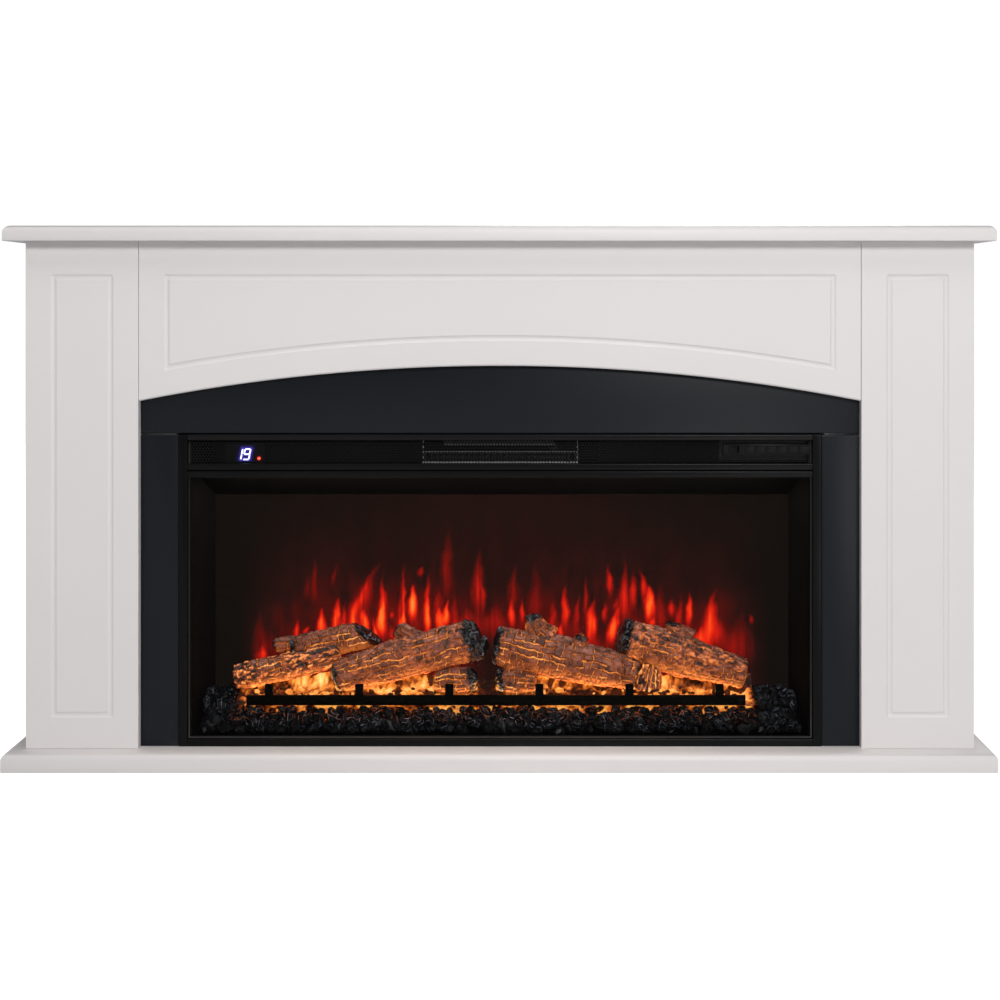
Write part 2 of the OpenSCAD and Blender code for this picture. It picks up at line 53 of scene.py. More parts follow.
class Shader:
    """Builds one node material around a Principled shader."""

    def __init__(self, name, rough=0.5, metal=0.0, specular=0.5):
        self.mat = bpy.data.materials.new(name)
        self.mat.use_nodes = True
        self.tree = self.mat.node_tree
        self.bsdf = self.tree.nodes["Principled BSDF"]
        self.bsdf.inputs["Roughness"].default_value = rough
        self.bsdf.inputs["Metallic"].default_value = metal
        self.bsdf.inputs["Specular IOR Level"].default_value = specular
        self.coords = self.tree.nodes.new("ShaderNodeTexCoord").outputs["Object"]

    def link(self, source, node, socket):
        self.tree.links.new(source, node.inputs[socket])

    def to(self, socket, source):
        self.tree.links.new(source, self.bsdf.inputs[socket])

    def attribute(self, name):
        node = self.tree.nodes.new("ShaderNodeAttribute")
        node.attribute_name = name
        return node.outputs["Fac"]

    def noise(self, scale, detail=3.0):
        node = self.tree.nodes.new("ShaderNodeTexNoise")
        node.inputs["Scale"].default_value = scale
        node.inputs["Detail"].default_value = detail
        node.inputs["Roughness"].default_value = 0.55
        self.link(self.coords, node, "Vector")
        return node.outputs["Fac"]

    def ramp(self, factor, stops):
        node = self.tree.nodes.new("ShaderNodeValToRGB")
        elements = node.color_ramp.elements
        elements[0].position = stops[0][0]
        elements[1].position = stops[-1][0]
        for place, colour in stops[1:-1]:
            elements.new(place)
        for element, (place, colour) in zip(elements, stops):
            element.color = (*colour, 1.0)
        self.link(factor, node, "Fac")
        return node.outputs["Color"]

    def mottle(self, factor, dark, light):
        """Two tones that run softly into each other."""
        return self.ramp(factor, [(0.3, dark), (0.7, light)])

    def values(self, factor, low, high):
        node = self.tree.nodes.new("ShaderNodeMapRange")
        node.inputs["To Min"].default_value = low
        node.inputs["To Max"].default_value = high
        self.link(factor, node, "Value")
        return node.outputs["Result"]

    def math(self, operation, a, b):
        node = self.tree.nodes.new("ShaderNodeMath")
        node.operation = operation
        for index, value in enumerate((a, b)):
            if isinstance(value, (int, float)):
                node.inputs[index].default_value = value
            else:
                self.tree.links.new(value, node.inputs[index])
        return node.outputs["Value"]

    def mix(self, factor, a, b, blend="MIX"):
        node = self.tree.nodes.new("ShaderNodeMix")
        node.data_type = "RGBA"
        node.blend_type = blend
        for socket, value in ((0, factor), (6, a), (7, b)):
            if isinstance(value, (int, float)):
                node.inputs[socket].default_value = value
            elif isinstance(value, tuple):
                node.inputs[socket].default_value = (*value, 1.0)
            else:
                self.tree.links.new(value, node.inputs[socket])
        return node.outputs[2]

    def bump(self, height, strength, distance):
        node = self.tree.nodes.new("ShaderNodeBump")
        node.inputs["Strength"].default_value = strength
        node.inputs["Distance"].default_value = distance
        self.link(height, node, "Height")
        self.to("Normal", node.outputs["Normal"])

    def glow(self, colour, strength):
        self.to("Emission Color", colour)
        self.bsdf.inputs["Emission Strength"].default_value = strength


def plain(name, dark, light, rough, metal=0.0, specular=0.5, grain=600.0, bump=0.15, depth=0.0002):
    """A finish with a slight change of tone, roughness and fine surface texture."""
    s = Shader(name, rough, metal, specular)
    broad = s.noise(6.0, 3.0)
    fine = s.noise(grain, 2.0)
    s.to("Base Color", s.mottle(broad, dark, light))
    s.to("Roughness", s.values(fine, rough - 0.05, rough + 0.05))
    s.bump(fine, bump, depth)
    return s.mat


# ---------------------------------------------------------------- helpers: meshes


def box_mm(name):
    """Low and high corner of a CAD node's box, in mm."""
    return [np.array(corner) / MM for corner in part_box(name)]


def set_material(obj, material):
    obj.data.materials.clear()
    obj.data.materials.append(material)


def smooth(obj, angle):
    """Smooth shading with sharp edges kept above an angle."""
    obj.data.shade_smooth()
    obj.data.set_sharp_from_angle(angle=math.radians(angle))


def weigh_normals(obj):
    """Lets large flat faces set the shading of the narrow rounded ones beside them."""
    modifier = obj.modifiers.new("normals", "WEIGHTED_NORMAL")
    modifier.keep_sharp = True


def make_object(name, vertices, faces, material, stands_for=(), angle=35.0, values=None, merge=0.0):
    """A fixed piece from points and faces; values are numbers per point that its material reads."""
    mesh = bpy.data.meshes.new(name)
    mesh.from_pydata(np.asarray(vertices, float).tolist(), [], [tuple(map(int, f)) for f in faces])
    for key, data in (values or {}).items():
        mesh.attributes.new(key, "FLOAT", "POINT").data.foreach_set("value", np.asarray(data, np.float32))
    if merge:
        bm = bmesh.new()
        bm.from_mesh(mesh)
        bmesh.ops.remove_doubles(bm, verts=bm.verts, dist=merge)
        bmesh.ops.recalc_face_normals(bm, faces=bm.faces)
        bm.to_mesh(mesh)
        bm.free()
    obj = bpy.data.objects.new(name, mesh)
    scene.collection.objects.link(obj)
    set_material(obj, material)
    smooth(obj, angle)
    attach(obj, "root")
    if stands_for:
        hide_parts(*stands_for)
    return obj


def finish_node(name, material, bevel=0.0, angle=35.0, crease=50.0):
    """Gives a CAD node its material and, where asked, eased edges."""
    obj = NODES[name]
    set_material(obj, material)
    if bevel:
        weld = obj.modifiers.new("weld", "WELD")
        weld.merge_threshold = 1e-6
        flatten = obj.modifiers.new("flatten", "DECIMATE")
        flatten.decimate_type = "DISSOLVE"
        flatten.angle_limit = math.radians(0.4)
        ease = obj.modifiers.new("ease", "BEVEL")
        ease.width = bevel
        ease.segments = 3
        ease.limit_method = "ANGLE"
        ease.angle_limit = math.radians(crease)
        ease.harden_normals = True
    smooth(obj, angle)


def grid_faces(rows, columns, wrap=False):
    """Quads of a grid whose points run row by row; wrap closes each row on itself."""
    r = np.arange(rows - 1)[:, None]
    c = np.arange(columns if wrap else columns - 1)[None, :]
    nxt = (c + 1) % columns
    a = r * columns + c
    b = r * columns + nxt
    return np.stack([a, b, b + columns, a + columns], axis=-1).reshape(-1, 4)


def hash_noise(cells, seed):
    """One steady random number from 0 to 1 for each row of whole numbers."""
    primes = np.array([73856093, 19349663, 83492791], np.int64)[: cells.shape[1]]
    h = (cells.astype(np.int64) @ primes + seed * 40503) & 0xFFFFFFFF
    h = ((h ^ (h >> 13)) * 1274126177) & 0xFFFFFFFF
    h = ((h ^ (h >> 16)) * 1103515245) & 0xFFFFFFFF
    return ((h ^ (h >> 15)) & 0xFFFFFF) / 0xFFFFFF


def value_noise(points, seed):
    """Smooth noise from 0 to 1 on a grid of whole numbers."""
    base = np.floor(points).astype(np.int64)
    f = points - base
    f = f * f * (3 - 2 * f)
    total = np.zeros(len(points))
    size = points.shape[1]
    for corner in range(2 ** size):
        offset = np.array([(corner >> k) & 1 for k in range(size)])
        weight = np.prod(np.where(offset, f, 1 - f), axis=1)
        total += weight * hash_noise(base + offset, seed)
    return total


def fractal(points, octaves, seed):
    """Layered smooth noise, from 0 to 1 and centred near 0.5."""
    total, gain, norm = 0.0, 1.0, 0.0
    for k in range(octaves):
        total = total + gain * value_noise(points * 2.0 ** k + 17.3 * k, seed + k)
        norm += gain
        gain *= 0.5
    return total / norm


def cells(points, seed):
    """Distance to the nearest scattered centre, room to the cell's border, and the cell's random number."""
    size = points.shape[1]
    base = np.floor(points).astype(np.int64)
    first = np.full(len(points), 9.0)
    second = np.full(len(points), 9.0)
    tag = np.zeros(len(points))
    for step in range(3 ** size):
        offset = np.array([(step // 3 ** k) % 3 - 1 for k in range(size)])
        cell = base + offset
        centre = cell + np.stack([hash_noise(cell, seed + 11 * k) for k in range(size)], axis=1)
        distance = np.linalg.norm(points - centre, axis=1)
        nearer = distance < first
        second = np.where(nearer, first, np.minimum(second, distance))
        tag = np.where(nearer, hash_noise(cell, seed + 77), tag)
        first = np.where(nearer, distance, first)
    return first, second - first, tag


def smoothstep(low, high, x):
    t = np.clip((x - low) / (high - low), 0, 1)
    return t * t * (3 - 2 * t)


def bell(x, middle, width):
    return np.exp(-(((x - middle) / width) ** 2))


# ---------------------------------------------------------------- camera, lights and floor

FACE_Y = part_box("left_pilaster")[0][1]
LENS_DISTANCE = 2.7
LENS_HEIGHT = 0.784
LENS_SIDE = 0.074


def make_camera():
    data = bpy.data.cameras.new("camera")
    data.lens = 58.0
    data.sensor_width = 36.0
    data.shift_x = -0.044
    data.shift_y = -0.2
    obj = bpy.data.objects.new("camera", data)
    obj.location = (LENS_SIDE, FACE_Y - LENS_DISTANCE, LENS_HEIGHT)
    obj.rotation_euler = (math.radians(90), 0, 0)
    scene.collection.objects.link(obj)
    scene.camera = obj


def area_light(name, place, target, size, power, colour=(1, 1, 1)):
    data = bpy.data.lights.new(name, "AREA")
    data.shape = "RECTANGLE"
    data.size, data.size_y = size
    data.energy = power
    data.color = colour
    obj = bpy.data.objects.new(name, data)
    obj.location = place
    obj.rotation_euler = (Vector(target) - Vector(place)).to_track_quat("-Z", "Y").to_euler()
    obj.visible_camera = False
    scene.collection.objects.link(obj)


def make_studio():
    world = bpy.data.worlds.new("studio")
    scene.world = world
    world.use_nodes = True
    tree = world.node_tree
    background = tree.nodes["Background"]
    background.inputs["Color"].default_value = (1, 1, 1, 1)
    path = tree.nodes.new("ShaderNodeLightPath")
    # White behind the object, softer as fill, and dim in reflections so that the glass stays clear
    fill = tree.nodes.new("ShaderNodeMix")
    fill.inputs["A"].default_value = 0.17
    fill.inputs["B"].default_value = 0.05
    tree.links.new(path.outputs["Is Glossy Ray"], fill.inputs["Factor"])
    seen = tree.nodes.new("ShaderNodeMix")
    seen.inputs["B"].default_value = 1.05
    tree.links.new(fill.outputs["Result"], seen.inputs["A"])
    tree.links.new(path.outputs["Is Camera Ray"], seen.inputs["Factor"])
    tree.links.new(seen.outputs["Result"], background.inputs["Strength"])
    area_light("key", (0.8, -6.3, 3.4), (0.05, 0, 0.4), (1.4, 1.4), 240)
    area_light("top_light", (0.0, -1.3, 3.2), (0.0, -0.15, 0.2), (2.4, 1.2), 23)
    area_light("side_card", (1.5, -3.0, 0.35), (0.5, 0, 0.3), (1.0, 1.0), 6)
    area_light("back_fill", (0.8, 3.4, 2.4), (0, 0, 0.4), (2.0, 2.0), 60)

    far = 6.0
    mesh = bpy.data.meshes.new("floor")
    mesh.from_pydata([(-far, -far, 0), (far, -far, 0), (far, far, 0), (-far, far, 0)], [], [(0, 1, 2, 3)])
    floor = bpy.data.objects.new("floor", mesh)
    scene.collection.objects.link(floor)
    s = Shader("pale_floor", 0.8, specular=0.0)
    s.to("Base Color", s.mottle(s.noise(3.0), (0.73, 0.74, 0.76), (0.75, 0.76, 0.78)))
    s.bsdf.inputs["Emission Color"].default_value = (1, 1, 1, 1)
    seen = s.tree.nodes.new("ShaderNodeLightPath").outputs["Is Camera Ray"]
    s.to("Emission Strength", s.values(seen, 0.02, 1.0))
    set_material(floor, s.mat)


make_camera()
make_studio()

# ---------------------------------------------------------------- boards, metal and plastic


def white_film():
    s = Shader("white_film", 0.42, specular=0.4)
    broad = s.noise(2.2, 3.0)
    fine = s.noise(900.0, 2.0)
    waves = s.noise(45.0, 2.0)
    s.to("Base Color", s.mottle(broad, (0.735, 0.702, 0.695), (0.75, 0.717, 0.71)))
    s.to("Roughness", s.values(waves, 0.38, 0.48))
    s.bump(s.math("ADD", s.math("MULTIPLY", fine, 0.25), waves), 0.06, 0.0004)
    return s.mat


def black_film():
    s = Shader("black_film", 0.3, specular=0.24)
    broad = s.noise(3.0, 3.0)
    fine = s.noise(1100.0, 3.0)
    s.to("Base Color", s.mottle(broad, (0.0050, 0.0066, 0.0092), (0.0064, 0.0080, 0.0108)))
    s.to("Roughness", s.values(fine, 0.27, 0.33))
    s.bump(fine, 0.12, 0.0002)
    return s.mat


def clear_glass():
    s = Shader("clear_glass", 0.04, specular=0.3)
    s.bsdf.inputs["Alpha"].default_value = 0.02
    smear = s.noise(4.0, 4.0)
    s.to("Base Color", s.mottle(smear, (0.003, 0.003, 0.003), (0.005, 0.005, 0.005)))
    s.to("Roughness", s.values(smear, 0.03, 0.07))
    return s.mat


WHITE = white_film()
BLACK = black_film()
TRIM = plain("satin_trim", (0.0042, 0.0041, 0.0042), (0.0058, 0.0056, 0.0057), 0.25,
             specular=0.10, grain=1500.0, bump=0.08)
RAIL = plain("satin_rail", (0.0086, 0.0074, 0.0078), (0.0104, 0.0090, 0.0094), 0.25,
             specular=0.10, grain=1500.0, bump=0.08)
SHEET = plain("powder_coat", (0.012, 0.012, 0.0125), (0.016, 0.016, 0.0165), 0.6, grain=1800.0, bump=0.2)
LINING = plain("lining_paint", (0.0044, 0.0040, 0.0036), (0.0060, 0.0054, 0.0048), 0.62,
               specular=0.04, grain=900.0)
ZINC = plain("zinc_plate", (0.42, 0.43, 0.45), (0.55, 0.56, 0.58), 0.34, metal=1.0, grain=260.0)
BRIGHT = plain("bright_steel", (0.6, 0.6, 0.6), (0.7, 0.7, 0.7), 0.22, metal=1.0, grain=800.0)
BLADES = plain("pressed_alloy", (0.4, 0.4, 0.41), (0.5, 0.5, 0.51), 0.38, metal=1.0, grain=500.0)
PLASTIC = plain("black_plastic", (0.0044, 0.0044, 0.0047), (0.006, 0.006, 0.0064), 0.45,
                specular=0.10, grain=2500.0, bump=0.25)
CAPS = plain("button_plastic", (0.0052, 0.005, 0.0052), (0.0072, 0.007, 0.0072), 0.34,
             specular=0.12, grain=2000.0, bump=0.1)
BOARD = plain("circuit_board", (0.003, 0.012, 0.006), (0.005, 0.018, 0.009), 0.4, grain=300.0, bump=0.4)
CERAMIC = plain("heater_ceramic", (0.02, 0.018, 0.016), (0.03, 0.027, 0.024), 0.8, grain=700.0, bump=0.4)
IRON = plain("grate_iron", (0.0010, 0.0009, 0.0008), (0.0020, 0.0018, 0.0016), 0.6,
             specular=0.03, grain=500.0, bump=0.5, depth=0.0004)

for name in ("base_plinth", "mantel_shelf"):
    finish_node(name, WHITE, bevel=0.8 * MM, angle=30.0, crease=60.0)
for name in ("left_side_panel", "right_side_panel", "left_return_panel", "right_return_panel", "rear_rail"):
    finish_node(name, WHITE, bevel=0.6 * MM)
for name in ("top_slip_panel", "left_slip_panel", "right_slip_panel"):
    finish_node(name, BLACK, bevel=0.7 * MM, crease=30.0)
finish_node("trim_top_rail", RAIL, bevel=1.4 * MM, crease=15.0)
for name in ("trim_bottom_rail", "trim_left_stile", "trim_right_stile", "grille_sill", "glass_top_strip"):
    finish_node(name, TRIM, bevel=1.4 * MM, crease=15.0)


def trim_bead():
    """Fine polished lip round the inner edge of the trim; its lower run is painted much lighter as a painted
    highlight.
    """
    left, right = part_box("trim_left_stile")[1][0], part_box("trim_right_stile")[0][0]
    low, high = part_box("trim_bottom_rail")[1][2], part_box("glass_top_strip")[0][2]
    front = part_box("trim_left_stile")[0][1] - 0.25 * MM
    back = front + 0.2 * MM
    width = 1.1 * MM
    corners = ((left, low, -1, -1), (right, low, 1, -1), (right, high, 1, 0.4), (left, high, -1, 0.4))
    vertices = [(px + grow * side, y, pz + grow * rise)
                for y, grow in ((front, 0.0), (front, width), (back, width), (back, 0.0))
                for px, pz, side, rise in corners]
    faces = []
    for ring in range(4):
        here, there = 4 * ring, 4 * (ring + 1) % 16
        faces += [(here + k, here + (k + 1) % 4, there + (k + 1) % 4, there + k) for k in range(4)]
    s = Shader("trim_lip", 0.4, specular=0.3)
    # Painted highlight: tone 1 paints the lower run light, tone 0 leaves the upper run dark
    s.to("Base Color", s.ramp(s.attribute("tone"), [(0.0, (0.010, 0.010, 0.010)),
                                                    (0.8, (0.030, 0.028, 0.027)),
                                                    (1.0, (0.075, 0.070, 0.067))]))
    s.to("Roughness", s.values(s.noise(900.0), 0.35, 0.45))
    make_object("trim_bead", vertices, faces, s.mat, angle=20.0,
                values={"tone": [1.0, 1.0, 0.0, 0.0] * 4})


trim_bead()
for name in ("casing_back", "casing_top", "casing_base", "casing_ends"):
    finish_node(name, SHEET)
for name, material in (("assembly_screws", ZINC), ("wall_brackets", ZINC), ("side_liners", LINING),
                       ("ceiling_panel", LINING), ("flame_stencil", BRIGHT), ("flame_spindle", BRIGHT),
                       ("spindle_bearings", PLASTIC), ("spindle_motor", ZINC), ("led_boards", BOARD),
                       ("heater_duct", LINING), ("blower_wheel", BLADES), ("blower_motor", LINING),
                       ("heating_element", CERAMIC), ("thermal_cutout", CERAMIC), ("control_board", BOARD),
                       ("cable_gland", PLASTIC), ("display_module", LINING), ("glass_pane", clear_glass())):
    finish_node(name, material)
NODES["glass_pane"].visible_shadow = False
finish_node("control_panel", PLASTIC, bevel=0.4 * MM)
finish_node("power_switch", CAPS, bevel=0.5 * MM)
for index in range(1, 7):
    finish_node(f"button_{index}", CAPS, bevel=0.5 * MM)
finish_node("grate", IRON, bevel=0.8 * MM)

# ---------------------------------------------------------------- routed front panels

GROOVE_HALF = 5 * MM
COVE_R = 6.8 * MM
GROOVE_SIDE = 47 * MM
GROOVE_END = 60 * MM
GROOVE_FOOT = 57 * MM
CORNER_POINTS = 6


def corner_arc(corner, before, after, radius):
    """Points that round one corner; they coincide where the radius is 0."""
    t = np.linspace(0, 1, CORNER_POINTS)[:, None]
    a = corner + np.array(before) * radius
    b = corner + np.array(after) * radius
    return (1 - t) ** 2 * a + 2 * t * (1 - t) * corner + t ** 2 * b


def panel_ring(x0, x1, z1, bottom, inset, corner, count):
    """The panel's outline moved in by (side, top, bottom) insets, from the top left corner clockwise."""
    side, top, low = inset
    xa, xb, zt = x0 + side, x1 - side, z1 - top
    za, zb = bottom(xa, low), bottom(xb, low)
    reach = max(corner, 1e-5)
    slope = (bottom(xa + reach, low) - za) / reach
    along = np.array([1, slope]) / math.hypot(1, slope)
    arcs = [corner_arc(np.array([xa, zt]), (0, -1), (1, 0), corner),
            corner_arc(np.array([xb, zt]), (-1, 0), (0, -1), corner),
            corner_arc(np.array([xb, zb]), (0, 1), along * (-1, 1), corner),
            corner_arc(np.array([xa, za]), along, (0, 1), corner)]
    upper_x = np.linspace(arcs[0][-1, 0], arcs[1][0, 0], count + 2)[1:-1]
    lower_x = np.linspace(arcs[2][-1, 0], arcs[3][0, 0], count + 2)[1:-1]
    upper = np.stack([upper_x, np.full(count, zt)], axis=1)
    lower = np.stack([lower_x, [bottom(x, low) for x in lower_x]], axis=1)
    return np.concatenate([arcs[0], upper, arcs[1], arcs[2], lower, arcs[3]])


def routed_panel(name, bottom, edge, low_edge, count):
    """A board with eased edges and a cove groove that runs round inside its outline.

    bottom gives the lower edge's height at x, moved up by an inset; edge and low_edge are the easing radii.
    """
    (x0, y0, _), (x1, y1, z1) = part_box(name)
    half = CORNER_POINTS * 2 + count
    rings, depths = [], []
    low_part = np.zeros(2 * half)
    low_part[half:] = 1.0

    def add(inset, corner, depth):
        rings.append(panel_ring(x0, x1, z1, bottom, inset, corner, count))
        depths.append(depth)

    add((0, 0, 0), 0.0, np.full(2 * half, y1 - y0))
    radius = edge + (low_edge - edge) * low_part
    for turn in np.linspace(0, math.pi / 2, 7):
        inset = 1 - math.cos(turn)
        add((edge * inset, edge * inset, low_edge * inset), 0.0, radius * (1 - math.sin(turn)))
    groove_low = GROOVE_SIDE if low_edge > edge else GROOVE_FOOT
    for step in np.linspace(-GROOVE_HALF, GROOVE_HALF, 11):
        depth = math.sqrt(COVE_R ** 2 - step ** 2) - math.sqrt(COVE_R ** 2 - GROOVE_HALF ** 2)
        inset = (GROOVE_SIDE + step, GROOVE_END + step, groove_low + step)
        add(inset, max(-step, 0.0), np.full(2 * half, depth))
    points = np.concatenate([np.stack([ring[:, 0], y0 + depth, ring[:, 1]], axis=1)
                             for ring, depth in zip(rings, depths)])
    faces = grid_faces(len(rings), 2 * half, wrap=True).tolist()
    for start in (0, (len(rings) - 1) * 2 * half):
        for i in range(half - 1):
            faces.append((start + i, start + i + 1, start + 2 * half - 2 - i, start + 2 * half - 1 - i))
    obj = make_object(name + "_routed", points, faces, WHITE, (name,), angle=20.0, merge=1e-6)
    weigh_normals(obj)


def frieze_bottom():
    (x0, _, z0), (x1, _, _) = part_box("frieze_panel")
    rise = 59 * MM
    half_width = (x1 - x0) / 2
    radius = (half_width ** 2 + rise ** 2) / (2 * rise)
    centre = z0 + rise - radius
    return lambda x, inset: centre + math.sqrt((radius + inset) ** 2 - x * x)


routed_panel("frieze_panel", frieze_bottom(), 1.0 * MM, 4.0 * MM, 64)
for name in ("left_pilaster", "right_pilaster"):
    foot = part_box(name)[0][2]
    routed_panel(name, lambda x, inset, foot=foot: foot + inset, 1.2 * MM, 1.2 * MM, 2)

# ---------------------------------------------------------------- flame picture on the screen

# Flame tongues: middle, foot and tip height, width, lean and strength, in mm on the screen
TONGUES = [
    (-426, 150, 244, 34, 0, 0.15), (-423, 148, 178, 28, 0, 0.36), (-405, 150, 205, 50, 0, 0.18),
    (-362, 188, 228, 12, 2, 0.46), (-345, 197, 214, 13, 10, 0.50), (-344, 262, 300, 12, 3, 0.16),
    (-331, 256, 336, 14, 1, 0.20), (-296, 284, 320, 9, 2, 0.22), (-318, 196, 244, 19, 2, 0.72),
    (-293, 200, 262, 18, 4, 0.60), (-279, 200, 260, 13, 2, 0.36), (-250, 212, 324, 46, 40, 0.34),
    (-254, 226, 300, 15, 24, 0.34), (-261, 196, 242, 18, 0, 0.44), (-241, 196, 240, 17, 0, 0.76),
    (-221, 182, 226, 10, -4, 0.64), (-211, 215, 302, 16, 2, 0.52), (-210, 196, 254, 21, 0, 0.80),
    (-194, 225, 239, 9, 0, 0.40), (-194, 188, 216, 20, 0, 0.34), (-176, 206, 318, 17, 6, 0.48),
    (-174, 206, 240, 12, 0, 0.62), (-157, 226, 284, 23, 2, 0.84), (-145, 299, 318, 13, 1, 0.34),
    (-132, 200, 306, 15, 2, 0.52), (-131, 206, 262, 12, 0, 0.44), (-108, 200, 244, 18, 0, 0.74),
    (-111, 226, 286, 20, 0, 0.26), (-97, 212, 256, 15, 0, 0.80), (-96, 256, 386, 28, 2, 0.20),
    (-84, 198, 280, 16, -2, 0.26), (-41, 240, 354, 31, 1, 0.34), (-33, 240, 306, 10, 0, 0.28),
    (-60, 196, 246, 60, 0, 0.24), (-14, 190, 254, 50, 4, 0.24), (17, 213, 262, 16, 0, 0.56),
    (20, 244, 322, 26, 6, 0.22), (37, 220, 262, 13, -1, 0.46), (58, 225, 330, 30, 4, 0.13),
    (88, 205, 262, 14, 2, 0.26), (111, 214, 282, 17, 1, 0.62), (104, 194, 216, 13, 0, 0.55),
    (130, 210, 268, 12, 3, 0.30), (147, 232, 300, 12, 1, 0.34), (158, 188, 260, 21, 1, 0.82),
    (180, 220, 256, 11, 0, 0.38), (189, 268, 322, 16, -5, 0.40), (200, 238, 268, 11, 0, 0.34),
    (193, 184, 244, 23, 15, 0.74), (215, 222, 326, 29, 2, 0.40), (231, 244, 310, 15, -2, 0.42),
    (249, 258, 312, 20, -9, 0.46), (258, 222, 284, 22, 0, 0.76), (264, 209, 228, 12, 4, 0.50),
    (276, 200, 290, 34, 2, 0.26), (299, 229, 260, 18, 1, 0.38), (311, 200, 268, 16, 6, 0.34),
    (329, 216, 270, 15, 1, 0.66), (347, 170, 214, 22, 0, 0.48), (364, 166, 276, 38, 12, 0.56),
    (386, 170, 230, 22, 0, 0.28), (420, 150, 240, 56, 0, 0.18), (440, 216, 234, 10, -1, 0.34),
]


def flame_heat(x, z):
    """Heat from 0 to 1 at each point of the screen, from the tongues and a low haze of streaks."""
    bend = fractal(np.stack([x / 22, z / 26], axis=1), 3, seed=5) - 0.5
    fibres = fractal(np.stack([x / 4.2, z / 90], axis=1), 3, seed=21)
    streaks = fractal(np.stack([x / 11, z / 80], axis=1), 3, seed=27)
    blots = fractal(np.stack([x / 34, z / 42], axis=1), 3, seed=33)
    heat = np.zeros(len(x))
    for middle, foot, tip, width, lean, strength in TONGUES:
        near = np.abs(x - middle) < width * 2.2 + abs(lean) + 6
        t = (z[near] - foot) / (tip - foot)
        inside = np.clip(t, 0, 1)
        blunt = smoothstep(0.45, 0.75, strength)
        spread = width * 0.6 * (0.3 + 0.7 * np.sin(math.pi * np.clip(inside * 0.84 + 0.18, 0, 1)) ** 1.1)
        spread = spread * (1 - inside) ** (0.42 - 0.2 * blunt) + 0.8
        line = middle + lean * (inside ** 1.5 - 0.2) + bend[near] * (5 + 11 * inside)
        off = np.abs(x[near] - line) / spread
        envelope = np.clip(1 - off ** 2.2, 0, 1) ** 1.3
        core = np.clip(1 - (off * 1.5) ** 2, 0, 1) * np.sin(math.pi * np.clip(t * 0.8 + 0.12, 0, 1)) ** 2
        fade = 1 - smoothstep(0.4, 1.05, t) * (0.75 - 0.35 * blunt)
        along = smoothstep(-0.3, 0.25, t) * fade * (1 - smoothstep(0.88, 1.1, t))
        ragged = 0.84 + 0.9 * (fibres[near] - 0.5)
        value = strength * envelope * along * (0.78 + 0.30 * core) * ragged
        heat[near] = 1 - (1 - heat[near]) * (1 - np.clip(value, 0, 1))
    wide = smoothstep(-470, -330, x) * (1 - smoothstep(370, 480, x))
    wide = wide * (1.15 - 0.27 * smoothstep(-330, -120, x))
    reach = 300 + 90 * (fractal(np.stack([x / 45, x * 0], axis=1), 3, seed=8) - 0.5)
    low = 1 - smoothstep(0, 1, (z - 190) / (reach - 190))
    upper = 1 - smoothstep(0, 1, (z - 210) / 230)
    glow = bell(x, -10, 300) * smoothstep(200, 300, z)
    haze = 0.15 * low * (0.3 + 1.3 * blots) + 0.06 * upper * (0.2 + 1.5 * blots)
    haze = wide * haze + 0.03 * glow
    heat = 1 - (1 - heat) * (1 - haze * (0.45 + 0.7 * streaks + 0.4 * fibres))
    dark = 0.75 * bell(x, -18, 42) * (1 - smoothstep(150, 225, z))
    return np.clip(heat * (1 - dark), 0, 1)


def flame_material():
    s = Shader("flame_picture", 0.6, specular=0.0)
    grain = s.noise(700.0, 2.0)
    s.to("Base Color", s.mottle(grain, (0.0010, 0.0008, 0.0007), (0.0015, 0.0012, 0.0011)))
    heat = s.attribute("fire_heat")
    s.glow(s.ramp(heat, [(0.0, (0.0062, 0.0046, 0.0036)), (0.06, (0.024, 0.0062, 0.0050)),
                         (0.16, (0.088, 0.0055, 0.0040)), (0.30, (0.26, 0.0070, 0.0045)),
                         (0.46, (0.68, 0.012, 0.0050)), (0.60, (1.0, 0.040, 0.007)),
                         (0.74, (1.0, 0.135, 0.014)), (0.90, (1.0, 0.30, 0.045))]), 1.0)
    s.to("Roughness", s.values(grain, 0.5, 0.6))
    return s.mat


def flame_screen():
    (x0, y0, z0), (x1, y1, z1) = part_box("flame_screen")
    pitch = 2.2 * MM
    columns = int((x1 - x0) / pitch)
    rows = int((z1 - z0) / pitch)
    x, z = np.meshgrid(np.linspace(x0, x1, columns), np.linspace(z0, z1, rows))
    x, z = x.ravel(), z.ravel()
    front = np.stack([x, np.full(len(x), y0), z], axis=1)
    heat = flame_heat(x / MM, z / MM)
    corners = np.array([[a, y, b] for y in (y0, y1) for a, b in ((x0, z0), (x1, z0), (x1, z1), (x0, z1))])
    n = len(front)
    faces = grid_faces(rows, columns).tolist()
    faces += [(n + 4, n + 7, n + 6, n + 5), (n, n + 4, n + 5, n + 1), (n + 1, n + 5, n + 6, n + 2),
              (n + 2, n + 6, n + 7, n + 3), (n + 3, n + 7, n + 4, n)]
    make_object("flame_picture", np.concatenate([front, corners]), faces, flame_material(),
                ("flame_screen",), values={"fire_heat": np.concatenate([heat, np.zeros(8)])})


flame_screen()

# ---------------------------------------------------------------- logs


def curve_points(points, t):
    """A smooth line through three points, as a quadratic curve."""
    a, b, c = (np.array(p, float) for p in points)
    middle = 2 * b - (a + c) / 2
    t = t[:, None]
    return (1 - t) ** 2 * a + 2 * t * (1 - t) * middle + t ** 2 * c


